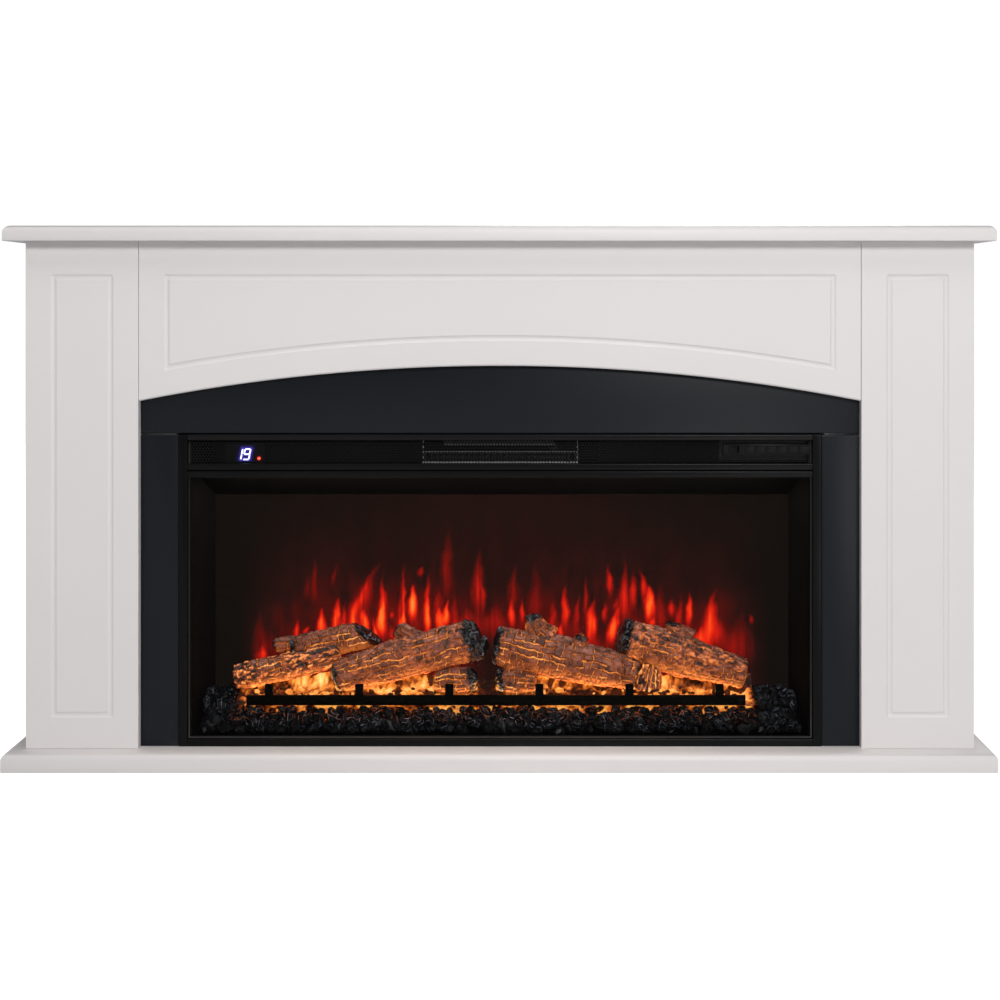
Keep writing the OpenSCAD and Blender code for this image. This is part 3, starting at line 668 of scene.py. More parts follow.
def tube_frame(points, radii, pitch):
    """Centres, direction, two cross directions and radii of the rings along a curve, and its length."""
    line = curve_points(points, np.linspace(0, 1, 50))
    length = np.linalg.norm(np.diff(line, axis=0), axis=1).sum()
    t = np.linspace(0, 1, max(int(length / pitch), 8))
    line = curve_points(points, t)
    tangent = np.gradient(line, axis=0)
    tangent /= np.linalg.norm(tangent, axis=1)[:, None]
    guide = np.array([0, 0, 1.0]) if abs(tangent[0, 2]) < 0.8 else np.array([1.0, 0, 0])
    side = np.cross(tangent, guide)
    side /= np.linalg.norm(side, axis=1)[:, None]
    up = np.cross(side, tangent)
    radius = np.interp(t, np.linspace(0, 1, len(radii)), radii)
    return line, tangent, side, up, radius, length


def bark_plates(along, around, ring, base_r, strips, seed):
    """Plates in long rows with staggered cross cracks.

    For each point this gives the distance to the cracks beside and across its plate, and its plate's number.
    """
    sway = (fractal(ring / 26, 2, seed + 1) - 0.5) * 0.9 + (fractal(ring / 6, 2, seed + 2) - 0.5) * 0.5
    turn = around / (2 * math.pi) * strips + sway + 0.3 * np.sin(along / 60 + seed)
    strip = np.floor(turn)
    share = turn - strip
    tag = np.stack([strip % strips, strip * 0], axis=1)
    cell_length = 8 + 10 * hash_noise(tag, seed + 3)
    shift = 60 * hash_noise(tag, seed + 4) + 8 * (fractal(ring / 8, 2, seed + 5) - 0.5)
    place = (along + shift) / cell_length
    cell = np.floor(place)
    part = place - cell
    this = np.stack([strip % strips, cell], axis=1)
    nxt = np.stack([strip % strips, cell + 1], axis=1)
    to_side = np.minimum(share, 1 - share) * (2 * math.pi * base_r / strips)
    rough_line = (fractal(ring / 2.6, 2, seed + 7) - 0.5) * 1.2
    to_start = np.where(hash_noise(this, seed + 6) > 0.2, part * cell_length, 9)
    to_end = np.where(hash_noise(nxt, seed + 6) > 0.2, (1 - part) * cell_length, 9)
    across = np.minimum(to_start, to_end) * 1.25 + 0.25 + rough_line
    joined = smoothstep(0.57, 0.66, fractal(ring / (10, 10, 24) + 17, 2, seed + 25))
    return to_side + rough_line + 4 * joined, across, this


def bark_tube(points, radii, seed, char=(0, 0), blunt=(6, 6), pitch=1.2, row_width=11.0, ember=1.0, shred=0.0,
              slant=0.0):
    """One stretch of burnt branch, in mm: cracked plates, charred ends and rounded tips."""
    line, tangent, side, up, radius, length = tube_frame(points, radii, pitch)
    rows = len(line)
    columns = int(2 * math.pi * max(radii) / pitch)
    theta = np.linspace(0, 2 * math.pi, columns, endpoint=False)
    along, around = np.meshgrid(np.linspace(0, 1, rows) * length, theta, indexing="ij")
    base_r = np.repeat(radius, columns)
    along, around = along.ravel(), around.ravel()
    ring = np.stack([np.cos(around) * base_r, np.sin(around) * base_r, along], axis=1)
    strips = max(int(round(2 * math.pi * np.mean(radii) / row_width)), 4)
    to_side, across, this = bark_plates(along, around, ring, base_r, strips, seed)
    edge = np.minimum(to_side, across)

    # Charred stretches and torn flakes
    wander = (fractal(ring / 12, 3, seed + 8) - 0.5) * 16
    burnt = np.zeros(len(along))
    if char[0]:
        burnt = np.maximum(burnt, 1 - smoothstep(-3, 4, along - char[0] + wander))
    if char[1]:
        burnt = np.maximum(burnt, 1 - smoothstep(-3, 4, length - along - char[1] + wander))
    near, _, _ = cells(ring / (7.5, 7.5, 8.0), seed + 9)
    flaky = shred * smoothstep(0.36, 0.56, fractal(ring / 24, 2, seed + 10))
    flakes = fractal(ring / (4.0, 4.0, 8.0), 3, seed + 11)

    crack = 1 - smoothstep(0.3, 1.6, edge)
    dome = smoothstep(0.2, 3.4, edge)
    plate = 2.6 * (hash_noise(this, seed + 12) - 0.5)
    fine = (fractal(ring / 1.9, 2, seed + 13) - 0.5) * 0.9
    bark = -2.6 * crack + 1.5 * dome + plate * dome + fine
    torn = 10.0 * (flakes - 0.5) + 2.4 * (fractal(ring / 3, 3, seed + 14) - 0.5)
    lump = 10.0 * (0.42 - near) + 9.0 * (fractal(ring / 9, 3, seed + 15) - 0.5) + 1.6 * fine
    height = bark * (1 - np.maximum(burnt, flaky * 0.8)) + torn * flaky * (1 - burnt) * 1.1 + lump * burnt
    sweep = (fractal(ring / 34, 2, seed + 16) - 0.5) * 0.22 * base_r
    r = base_r + height + sweep
    first = np.clip(along / max(blunt[0], 0.1), 0, 1)
    last = np.clip((length - along) / max(blunt[1], 0.1), 0, 1)
    r = r * (1 - (1 - first) ** 3) ** 0.45 * (1 - (1 - last) ** 3) ** 0.45
    r = np.maximum(r, 0.6)

    centre = np.repeat(line, columns, axis=0)
    out = np.repeat(side, columns, axis=0) * np.cos(around)[:, None]
    out = out + np.repeat(up, columns, axis=0) * np.sin(around)[:, None]
    end_push = (fractal(ring / 8, 2, seed + 17) - 0.5) * 7 * ((1 - first) + (1 - last))
    end_push = end_push - slant * out[:, 2] * smoothstep(length - 40, length, along) * r / base_r
    body = centre + out * r[:, None] + np.repeat(tangent, columns, axis=0) * end_push[:, None]
    vertices = np.concatenate([body, line[:1], line[-1:]])
    n = rows * columns
    ring_index = np.arange(columns)
    faces = grid_faces(rows, columns, wrap=True).tolist()
    faces += [(n, (k + 1) % columns, k) for k in ring_index.tolist()]
    top = n - columns
    faces += [(n + 1, top + k, top + (k + 1) % columns) for k in ring_index.tolist()]

    # How strongly each point glows: hot cracks and torn edges, and on the side that faces the embers a
    # painted ember light, which also paints the cracks there brighter
    low = 1 - smoothstep(0.10, 0.60, (out[:, 2] + 1) / 2)
    patch = smoothstep(0.36, 0.60, fractal(ring / 20 + 40, 3, seed + 18))
    bright_row = 0.45 + 0.55 * smoothstep(0.42, 0.60, fractal(ring / (14, 14, 30) + 9, 2, seed + 24))
    side_line = (1 - smoothstep(0.3, 1.7, to_side)) * bright_row
    cross_line = (1 - smoothstep(0.3, 1.4, across)) * (0.5 + 0.5 * hash_noise(this, seed + 21))
    hot = np.maximum(side_line, cross_line) * (0.6 + 0.4 * np.maximum(patch, low)) * (1 - burnt) * (1 - flaky)
    speckle = smoothstep(0.4, 0.6, fractal(ring / 3, 2, seed + 23))
    flake_edge = smoothstep(0.50, 0.60, flakes) * (0.35 + 0.65 * speckle)
    hot = np.maximum(hot, flaky * (1 - burnt) * flake_edge) * ember
    # Painted ember light: orange glow painted on the lower side, in patches, weaker on charred stretches and
    # in the cracks
    under = low * (1 - 0.75 * burnt) * (0.35 + 0.65 * patch) * (0.4 + 0.6 * smoothstep(0.5, 3.0, edge))
    tone = hash_noise(this, seed + 19) * 0.45 + fractal(ring / 5, 3, seed + 20) * 0.8 - 0.12
    tone = tone - 0.6 * flaky * smoothstep(0.55, 0.42, flakes)
    rim = (1 - smoothstep(0.8, 3.6, edge)) * (1 - flaky * 0.6)
    # Painted highlight: thin bluish lines along this noise on the raised lumps of charred stretches
    glint_line_noise = np.abs(fractal(ring / (5.5, 5.5, 7.0), 3, seed + 22) - 0.5)
    painted_char_highlight = (1 - smoothstep(0.008, 0.035, glint_line_noise)) * smoothstep(-1.5, 2.0, lump)
    # Painted top light: faces that point up get a grey-mauve copy of the wood colour
    painted_top_light = smoothstep(0.3, 1.0, out[:, 2])
    values = {"hot": hot, "under": under, "char": burnt, "tone": tone, "rim": rim, "painted_char_highlight": painted_char_highlight, "painted_top_light": painted_top_light}
    values = {key: np.concatenate([data, [0.0, 0.0]]) for key, data in values.items()}
    values["char"][-2:] = burnt[0], burnt[-1]
    return vertices * MM, faces, values


def bark_material():
    s = Shader("burnt_bark", 0.6, specular=0.4)
    char = s.attribute("char")
    tone = s.attribute("tone")
    fine = s.noise(420.0, 4.0)
    mixed = s.math("ADD", s.math("MULTIPLY", tone, 0.8), s.math("MULTIPLY", fine, 0.4))
    warm = s.ramp(mixed, [(0.20, (0.012, 0.004, 0.002)), (0.42, (0.090, 0.022, 0.009)),
                          (0.62, (0.215, 0.050, 0.019)), (0.85, (0.330, 0.098, 0.046))])
    # Grey-mauve copy of the wood ramp: painted top light for faces that point up
    lit_top_wood = s.ramp(mixed, [(0.20, (0.012, 0.005, 0.004)), (0.42, (0.070, 0.028, 0.020)),
                           (0.62, (0.185, 0.067, 0.044)), (0.85, (0.310, 0.136, 0.098))])
    wood = s.mix(s.attribute("painted_top_light"), warm, lit_top_wood)
    wood = s.mix(s.math("MULTIPLY", s.attribute("rim"), 0.92), wood, (0.010, 0.004, 0.003))
    # Charred black, with the painted bluish highlight lines
    burnt = s.mix(s.attribute("painted_char_highlight"), (0.0025, 0.0025, 0.003), (0.16, 0.20, 0.26))
    s.to("Base Color", s.mix(char, wood, burnt))
    s.to("Roughness", s.values(char, 0.62, 0.34))
    lines = s.ramp(s.attribute("hot"), [(0.0, (0.0, 0.0, 0.0)), (0.25, (0.30, 0.060, 0.008)),
                                        (0.55, (0.88, 0.26, 0.038)), (1.0, (1.0, 0.58, 0.19))])
    # Painted ember light: orange emission on the side that faces the embers
    under = s.ramp(s.attribute("under"), [(0.0, (0.0, 0.0, 0.0)), (0.5, (0.085, 0.016, 0.002)),
                                          (1.0, (0.40, 0.100, 0.014))])
    s.glow(s.mix(1.0, lines, under, "ADD"), 1.0)
    s.bump(fine, 0.35, 0.0008)
    return s.mat


BARK = bark_material()


def log(name, tubes):
    """One resin log made of a trunk and its stubs."""
    vertices, faces, values, total = [], [], {}, 0
    for piece in tubes:
        v, f, extra = bark_tube(**piece)
        vertices.append(v)
        faces += [tuple(i + total for i in face) for face in f]
        total += len(v)
        for key, data in extra.items():
            values.setdefault(key, []).append(data)
    values = {key: np.concatenate(data) for key, data in values.items()}
    make_object(name + "_bark", np.concatenate(vertices), faces, BARK, (name,), angle=60.0,
                values=values)


def tube(start, middle, end, radii, seed, char, blunt, **extra):
    """Three centre points with the radius at each, a seed, and how far each end is burnt and rounded."""
    return dict(points=(start, middle, end), radii=radii, seed=seed, char=char, blunt=blunt, **extra)


def make_logs():
    """The logs as they lie in the bed; all lengths in mm."""
    log("log_left_front", [
        tube((-461, -68, 133), (-384, -64, 148), (-280, -54, 171), (20, 22, 21), 3, (5, 0), (9, 4),
             shred=0.75)])
    log("log_left_back", [
        tube((-368, -41, 174), (-298, -41, 188), (-226, -40, 205), (21, 23, 22), 17, (13, 16), (4, 9),
             ember=0.9, slant=20),
        tube((-397, -46, 183), (-380, -46, 185), (-356, -44, 187), (9, 11, 11), 23, (8, 0), (6, 6),
             ember=0.8)])
    log("log_left_centre", [
        tube((-290, -66, 129), (-166, -61, 165), (-34, -57, 197), (26, 34, 34), 31, (12, 26), (8, 12),
             ember=0.95, shred=0.25),
        tube((-62, -60, 192), (-44, -62, 184), (-24, -63, 178), (20, 22, 17), 34, (0, 60), (3, 9)),
        tube((-184, -46, 211), (-164, -50, 202), (-138, -54, 190), (12, 15, 15), 37, (7, 0), (6, 6),
             ember=0.4)])
    log("log_right_centre", [
        tube((-14, -60, 188), (112, -61, 163), (238, -64, 137), (31, 36, 26), 43, (12, 3), (10, 6),
             ember=0.85),
        tube((84, -52, 192), (64, -50, 212), (54, -48, 238), (26, 19, 11), 47, (0, 9), (3, 5),
             shred=0.5, ember=0.8),
        tube((133, -62, 180), (136, -66, 192), (139, -70, 204), (15, 13, 12), 53, (0, 3), (4, 1.5),
             ember=0.9)])
    log("log_right", [
        tube((203, -56, 204), (306, -59, 171), (424, -64, 137), (29, 35, 24), 61, (24, 0), (10, 8),
             ember=0.9, shred=0.45),
        tube((326, -52, 188), (304, -49, 206), (298, -46, 224), (25, 19, 12), 67, (0, 7), (3, 5), ember=0.6)])
    log("log_offcuts", [
        tube((-116, -67, 125), (-80, -67, 127), (-40, -67, 128), (18, 24, 20), 71, (2, 14), (10, 10),
             row_width=8.0),
        tube((-10, -67, 126), (26, -67, 125), (62, -67, 122), (20, 23, 18), 79, (16, 0), (9, 8),
             row_width=8.0),
        tube((253, -73, 112), (256, -72, 134), (262, -71, 160), (25, 22, 13), 83, (0, 4), (3, 9),
             row_width=8.0, shred=1.0, ember=1.6)])


make_logs()

# ---------------------------------------------------------------- embers and coals


def ember_material():
    s = Shader("glowing_embers", 0.7, specular=0.2)
    heat = s.attribute("fire_heat")
    fine = s.noise(380.0, 4.0)
    level = s.math("ADD", s.math("MULTIPLY", heat, 0.86), s.math("MULTIPLY", fine, 0.22))
    s.to("Base Color", s.ramp(level, [(0.25, (0.008, 0.004, 0.003)), (0.45, (0.08, 0.03, 0.012)),
                                      (0.8, (0.45, 0.24, 0.09))]))
    s.glow(s.ramp(level, [(0.14, (0.006, 0.0015, 0.001)), (0.30, (0.11, 0.018, 0.003)),
                          (0.46, (0.48, 0.10, 0.010)), (0.62, (0.90, 0.27, 0.036)), (0.80, (1.0, 0.48, 0.11)),
                          (1.0, (1.0, 0.74, 0.34))]), 1.0)
    s.bump(fine, 0.4, 0.001)
    return s.mat


EMBERS = ember_material()
GAP_X = -24.0  # dark stretch of the bed, in mm, between the two groups of logs


def ember_bed():
    """The lumpy skin of glowing embers under the logs."""
    (x0, y0, z0), (x1, y1, z1) = box_mm("ember_bed")
    profile = np.array([[y0, z0], [y0, z1 - 40], [y0 + 6, z1 - 34], [y0 + 34, z1 - 24], [y0 + 48, z1 - 20],
                        [y1 - 4, z1], [y1, z1], [y1, z0]])
    steps = np.linalg.norm(np.diff(profile, axis=0), axis=1)
    reach = np.concatenate([[0], np.cumsum(steps)])
    s = np.arange(0, reach[-1], 1.5)
    y, z = np.interp(s, reach, profile[:, 0]), np.interp(s, reach, profile[:, 1])
    x = np.arange(x0, x1 + 0.1, 1.6)
    xx, yy = np.meshgrid(x, y)
    zz = np.repeat(z, len(x))
    xx, yy = xx.ravel(), yy.ravel()
    top = smoothstep(z0 + 30, z1 - 36, zz) * smoothstep(0, 6, xx - x0) * smoothstep(0, 6, x1 - xx)
    top = top * smoothstep(0, 5, y1 - yy)
    spot = np.stack([xx / 13, yy / 13], axis=1)
    near, border, tag = cells(spot, 401)
    small = fractal(np.stack([xx / 5, yy / 5], axis=1), 3, seed=403)
    zz = zz + top * (5.5 * (0.45 - near) + 3.0 * (tag - 0.5) + 2.5 * (small - 0.5))
    gap = bell(xx, GAP_X, 26)
    ridge = smoothstep(y1 - 16, y1 - 4, yy) * (zz > z1 - 24)
    zz = zz + ridge * (13 * (fractal(np.stack([xx / 15, yy * 0], axis=1), 3, seed=405) - 0.45) - 12 * gap)
    yy = yy - top * 1.2 * small * (yy < y0 + 8)
    broad = fractal(np.stack([xx / 38, yy / 30], axis=1), 3, seed=407)
    streak = fractal(np.stack([xx / 15, zz / 17, yy / 17], axis=1), 3, seed=409)
    heat = 0.26 + 0.12 * smoothstep(0.0, 0.2, border) + 1.0 * (broad - 0.45) + 0.6 * (small - 0.5)
    heat = heat + 0.01 + 0.8 * (streak - 0.5)
    heat = heat * (0.3 + 0.7 * (tag > 0.16))
    heat = heat * smoothstep(-4, 10, xx - x0) * smoothstep(-4, 10, x1 - xx)
    heat = heat * (1 - 0.8 * gap)
    heat = heat * (0.5 + 0.5 * smoothstep(z1 - 50, z1 - 38, zz))
    points = np.stack([xx, yy, zz], axis=1) * MM
    faces = grid_faces(len(y), len(x)).tolist()
    make_object("ember_skin", points, faces, EMBERS, ("ember_bed",), angle=50.0,
                values={"fire_heat": heat})


def rocks(places, sizes, seed, facets):
    """Faceted stones; every face has its own corners, so each one stays flat.

    Besides points and faces this gives, for each corner, a random number of its stone, one of its face,
    and how far it is from the face's edges that the coal material paints as highlight lines.
    """
    bm = bmesh.new()
    bmesh.ops.create_icosphere(bm, subdivisions=facets, radius=1.0)
    shape = np.array([v.co for v in bm.verts])
    triangles = np.array([[v.index for v in f.verts] for f in bm.faces])
    bm.free()
    rng = np.random.default_rng(seed)
    points, owner, tilt, edge = [], [], [], []
    for place, size in zip(places, sizes):
        axis = rng.normal(size=3)
        axis /= np.linalg.norm(axis)
        angle = rng.uniform(0, 2 * math.pi)
        skew = np.array([[0, -axis[2], axis[1]], [axis[2], 0, -axis[0]], [-axis[1], axis[0], 0]])
        turn = np.eye(3) + math.sin(angle) * skew + (1 - math.cos(angle)) * skew @ skew
        stretch = rng.uniform([0.75, 0.6, 0.5], [1.25, 1.05, 0.9])
        body = shape * rng.uniform(0.80, 1.14, size=(len(shape), 1)) * stretch
        body = body @ turn.T * size + place
        points.append(body[triangles].reshape(-1, 3))
        owner.append(np.full(len(triangles) * 3, rng.uniform()))
        tilt.append(np.repeat(rng.uniform(size=len(triangles)), 3))
        sharp = np.ones((len(triangles), 3))
        picked = rng.uniform(size=len(triangles)) < 0.5
        sharp[picked] = np.eye(3)[rng.integers(0, 3, picked.sum())]
        edge.append(sharp.ravel())
    points = np.concatenate(points)
    faces = np.arange(len(points)).reshape(-1, 3)
    return points, faces, np.concatenate(owner), np.concatenate(tilt), np.concatenate(edge)


def coal_material():
    """Near-black glass-like coal with painted highlights: bluish-white lines along some sharp edges, and a
    painted orange reflection of the embers on edges near the fire.
    """
    s = Shader("glossy_coal", 0.4, specular=0.06)
    fine = s.noise(900.0, 3.0)
    line = s.ramp(s.attribute("edge"), [(0.0, (1, 1, 1)), (0.04, (0.8, 0.8, 0.8)), (0.09, (0, 0, 0))])
    shine = s.math("MULTIPLY", line, s.attribute("tone"))
    black = s.mottle(fine, (0.0022, 0.0022, 0.0024), (0.0042, 0.0042, 0.0046))
    # Painted highlight: edge lines painted bluish-white where tone is high
    s.to("Base Color", s.mix(shine, black, (0.40, 0.49, 0.62)))
    s.to("Roughness", s.values(s.attribute("tone"), 0.30, 0.5))
    # Painted reflection: orange emission on edge lines where warm is high, for ember light on the upper coals
    s.glow(s.mix(s.math("MULTIPLY", line, s.attribute("warm")), (0, 0, 0), (0.75, 0.15, 0.018)), 1.0)
    s.bump(fine, 0.2, 0.0003)
    return s.mat


# Rows of coals from the front: depth and height in the bed, size and step, in mm
COAL_ROWS = ((12, 55, 16.0, 16), (13, 65, 19.0, 19), (16, 74, 17.0, 18), (21, 82, 12.5, 20))


def coal_bed():
    """A bank of black coals in front of the grate, with a heap at each end."""
    (x0, y0, _), (x1, y1, z1) = box_mm("coal_bed")
    bed_x0, bed_x1 = box_mm("ember_bed")[0][0], box_mm("ember_bed")[1][0]
    bar_z = box_mm("grate")[0][2]
    rng = np.random.default_rng(7)
    places, sizes = [], []
    for row, (y, z, size, step) in enumerate(COAL_ROWS):
        for x in np.arange(x0 + 8 + 5 * row, x1 - 8, step):
            size_here = size * rng.uniform(0.62, 1.05)
            places.append(np.array([x, y0 + y, z]) + rng.uniform(-1, 1, 3) * (5.5, 2.0, 3.5))
            sizes.append(size_here)
            if rng.uniform() < 0.6:
                places.append(np.array([x + step / 2, y0 + y - 4, z + 4]) + rng.uniform(-1, 1, 3) * (4, 2, 5))
                sizes.append(size_here * 0.5)
    count = len(places)
    for low, high in ((x0 + 8, bed_x0 - 9), (bed_x1 + 9, x1 - 8)):
        for y in np.arange(y0 + 26, y1 - 6, 14):
            for x in np.arange(low, high, 13):
                size_here = 14.0 * rng.uniform(0.65, 1.1)
                z = bar_z - 3 + (y - y0 - 26) * 0.25
                places.append(np.array([x, y, z]) + rng.uniform(-1, 1, 3) * (4, 3, 5))
                sizes.append(size_here)
    points, faces, owner, tilt, edge = rocks(places, sizes, 19, facets=2)
    front = np.arange(len(points)) < count * (len(points) // len(places))
    points[:, 0] = np.clip(points[:, 0], x0 + 0.5, x1 - 0.5)
    points[:, 1] = np.clip(points[:, 1], y0 + 0.4, y1 - 0.5)
    points[:, 2] = np.where(front, np.minimum(points[:, 2], bar_z - 0.6), np.minimum(points[:, 2], z1 - 0.5))
    over_fire = (points[:, 0] > bed_x0) & (points[:, 0] < bed_x1)
    # Painted ember reflection: warm marks faces of the upper coals over the fire
    warm = smoothstep(bar_z - 30, bar_z - 6, points[:, 2]) * over_fire * smoothstep(0.35, 0.8, tilt)
    # Painted highlight: tone sets how strongly the edge lines are painted; it fades out towards the bottom as
    # painted shade and is weaker where warm is
    tone = np.where(owner > 0.5, 0.2 + 0.8 * tilt ** 2, 0.1 * tilt)
    tone = tone * smoothstep(bar_z - 44, bar_z - 22, points[:, 2]) * (1 - 0.8 * warm)
    make_object("coals", points * MM, faces, coal_material(), ("coal_bed",), angle=1.0,
                values={"edge": edge, "tone": tone, "warm": warm})


def coal_slope():
    """The slope under the coals: it glows along its top and shows between them."""
    (x0, y0, z0), (x1, y1, z1) = box_mm("coal_bed")
    bed_x0, bed_x1 = box_mm("ember_bed")[0][0], box_mm("ember_bed")[1][0]
    bar_z = box_mm("grate")[0][2]
    low = np.array([[y0 + 13, z0], [y0 + 13, 60], [y0 + 18, 76], [y0 + 24, bar_z - 6], [y0 + 30, bar_z - 2],
                    [y0 + 31, z0]])
    heap = np.array([[y0 + 13, z0], [y0 + 13, 70], [y0 + 26, bar_z - 9], [y1 - 4, z1 - 9], [y1 - 1, z1 - 14],
                     [y1 - 1, z0]])
    points, faces, heats, total = [], [], [], 0
    stretches = ((low, x0 + 1, x1 - 1), (heap, x0 + 3, bed_x0 - 1.5), (heap, bed_x1 + 1.5, x1 - 3))
    for outline, left, right in stretches:
        lengths = np.linalg.norm(np.diff(outline, axis=0), axis=1)
        run = np.concatenate([[0], np.cumsum(lengths)])
        at = np.linspace(0, run[-1], int(run[-1] / 2.5))
        across = np.stack([np.interp(at, run, outline[:, 0]), np.interp(at, run, outline[:, 1])], axis=1)
        xs = np.linspace(left, right, int((right - left) / 2.5))
        grid = np.column_stack([np.tile(xs, len(at)), np.repeat(across, len(xs), axis=0)])
        rough = fractal(grid / 5, 3, seed=51) - 0.5
        grid[:, 1] = np.clip(grid[:, 1] + 3 * rough, y0 + 0.5, y1 - 0.5)
        inside = smoothstep(bed_x0 - 2, bed_x0 + 14, grid[:, 0])
        inside = inside * (1 - smoothstep(bed_x1 - 14, bed_x1 + 2, grid[:, 0]))
        patches = smoothstep(0.36, 0.6, fractal(grid / 17 + 3, 3, seed=57))
        height = smoothstep(bar_z - 34, bar_z - 8, grid[:, 2])
        heats.append(inside * height * (0.18 + 0.46 * patches + 0.8 * rough))
        points.append(grid)
        faces += [tuple(i + total for i in face) for face in grid_faces(len(at), len(xs)).tolist()]
        total += len(grid)
    s = Shader("coal_bank", 0.8, specular=0.0)
    s.to("Base Color", s.mottle(s.noise(500.0), (0.0015, 0.0014, 0.0013), (0.003, 0.0028, 0.0026)))
    s.glow(s.ramp(s.attribute("fire_heat"), [(0.05, (0.0, 0.0, 0.0)), (0.2, (0.08, 0.012, 0.002)),
                                             (0.4, (0.60, 0.13, 0.014)), (0.65, (1.0, 0.42, 0.08))]), 1.0)
    make_object("coal_slope", np.concatenate(points) * MM, faces, s.mat, ("coal_bed",),
                angle=60.0, values={"fire_heat": np.concatenate(heats)})


def cinders():
    """Small broken embers lying on the glowing bed."""
    rng = np.random.default_rng(23)
    (x0, y0, _), (x1, _, z1) = box_mm("ember_bed")
    places, sizes = [], []
    for _ in range(130):
        x = rng.uniform(x0 + 15, x1 - 12)
        y = rng.uniform(y0 + 8, y0 + 40)
        places.append(np.array([x, y, z1 - 34 + (y - y0 - 6) * 0.36 + rng.uniform(1, 5)]))
        sizes.append(rng.uniform(2.6, 8.0))
    points, faces, owner, tilt, _ = rocks(places, sizes, 29, facets=1)
    heat = 0.03 + 0.6 * (owner > 0.75) * owner + 0.14 * tilt
    make_object("cinders", points * MM, faces, EMBERS, angle=1.0, values={"fire_heat": heat})


ember_bed()
cinders()
coal_bed()
coal_slope()

# ---------------------------------------------------------------- grille, display and heater outlet

HOLE_PITCH = 5.1
ROW_PITCH = HOLE_PITCH * math.sqrt(3) / 2
HOLE_R = 2.05


def box_mesh(low, high):
    """Corners and faces of a plain strip; used only inside larger pieces."""
    x, y, z = zip(low, high)
    corners = [(x[i & 1], y[(i >> 1) & 1], z[(i >> 2) & 1]) for i in range(8)]
    faces = [(0, 1, 5, 4), (3, 2, 6, 7), (2, 0, 4, 6), (1, 3, 7, 5), (4, 5, 7, 6), (2, 3, 1, 0)]
    return corners, faces


def perforated_grille():
    """Sheet with staggered holes, and a solid margin round its edge and round the control panel."""
    (x0, y0, z0), (x1, y1, z1) = box_mm("air_grille")
    (px0, _, pz0), (_, _, pz1) = box_mm("control_panel")
    lip_z = box_mm("heater_duct")[0][2] + 0.7
    margin = 2.4
    first_row = math.ceil((z0 + margin - lip_z) / ROW_PITCH)
    centres = []
    for row in range(first_row, first_row + 14):
        z = lip_z + row * ROW_PITCH
        for column in range(int((x1 - x0) / HOLE_PITCH)):
            x = x0 + margin + HOLE_PITCH * (column + 0.5 * (row % 2) + 0.3)
            in_panel = px0 - 1.5 < x < x1 and pz0 - 0.5 < z < pz1 + 0.5
            if x < x1 - margin - 1 and z < z1 - margin and not in_panel:
                centres.append((x, z))
    centres = np.array(centres)
    angle = np.radians(np.arange(6) * 60 + 30)
    hole = np.stack([np.cos(angle), np.sin(angle)], axis=1) * HOLE_R
    outer = hole * HOLE_PITCH / math.sqrt(3) / HOLE_R
    points = []
    for y, ring in ((y0, outer), (y0, hole), (y1, hole), (y1, outer)):
        spots = (centres[:, None, :] + ring[None]).reshape(-1, 2)
        points.append(np.column_stack([spots[:, 0], np.full(len(spots), y), spots[:, 1]]))
    n = len(centres) * 6
    k = np.arange(n)
    nxt = k // 6 * 6 + (k + 1) % 6
    rings = np.concatenate([np.stack([k, nxt, n + nxt, n + k], axis=1) + layer * n for layer in range(3)])
    faces = rings.tolist()
    total = 4 * n
    front = y0 + 0.1
    for low, high in (((x0, front, z0), (x1, y1, z0 + margin)), ((x0, front, z1 - margin - 2), (x1, y1, z1)),
                      ((x0, front, z0), (x0 + margin, y1, z1)), ((x1 - margin - 1, front, z0), (x1, y1, z1))):
        corners, sides = box_mesh(low, high)
        points.append(np.array(corners))
        faces += [tuple(total + i for i in side) for side in sides]
        total += 8
    sheet = plain("perforated_sheet", (0.008, 0.0079, 0.008), (0.011, 0.0109, 0.011), 0.5,
                  specular=0.05, grain=1500.0)
    make_object("perforated_grille", np.concatenate(points) * MM, faces, sheet,
                ("air_grille",), angle=20.0)


GRILLE_Y = box_mm("air_grille")[0][1]
DISPLAY_LOW, DISPLAY_HIGH = box_mm("display_module")
LAMP = DISPLAY_HIGH[[0, 2]] - (10.0, 24.8)
SEGMENTS = {"1": "bc", "9": "abcdfg"}
DIGIT_W = 9.6
DIGIT_H = 17.6
STROKE = 2.2
SLANT = 0.2


def segment_lines():
    """Centre lines of the lit segments, as pairs of points in the digit's own plane."""
    h, w = DIGIT_H / 2, DIGIT_W
    return {"a": ((0, 2 * h), (w, 2 * h)), "b": ((w, 2 * h), (w, h)), "c": ((w, h), (w, 0)),
            "d": ((0, 0), (w, 0)), "f": ((0, h), (0, 2 * h)), "g": ((0, h), (w, h))}


def lit_segments():
    x0, origin_z = DISPLAY_LOW[0], DISPLAY_HIGH[2] - 26.6
    lines = []
    for sign, left in (("1", x0 + 14.5), ("9", x0 + 28.0)):
        for key in SEGMENTS[sign]:
            pair = [np.array([left + px + SLANT * pz, origin_z + pz]) for px, pz in segment_lines()[key]]
            lines.append(pair)
    return lines


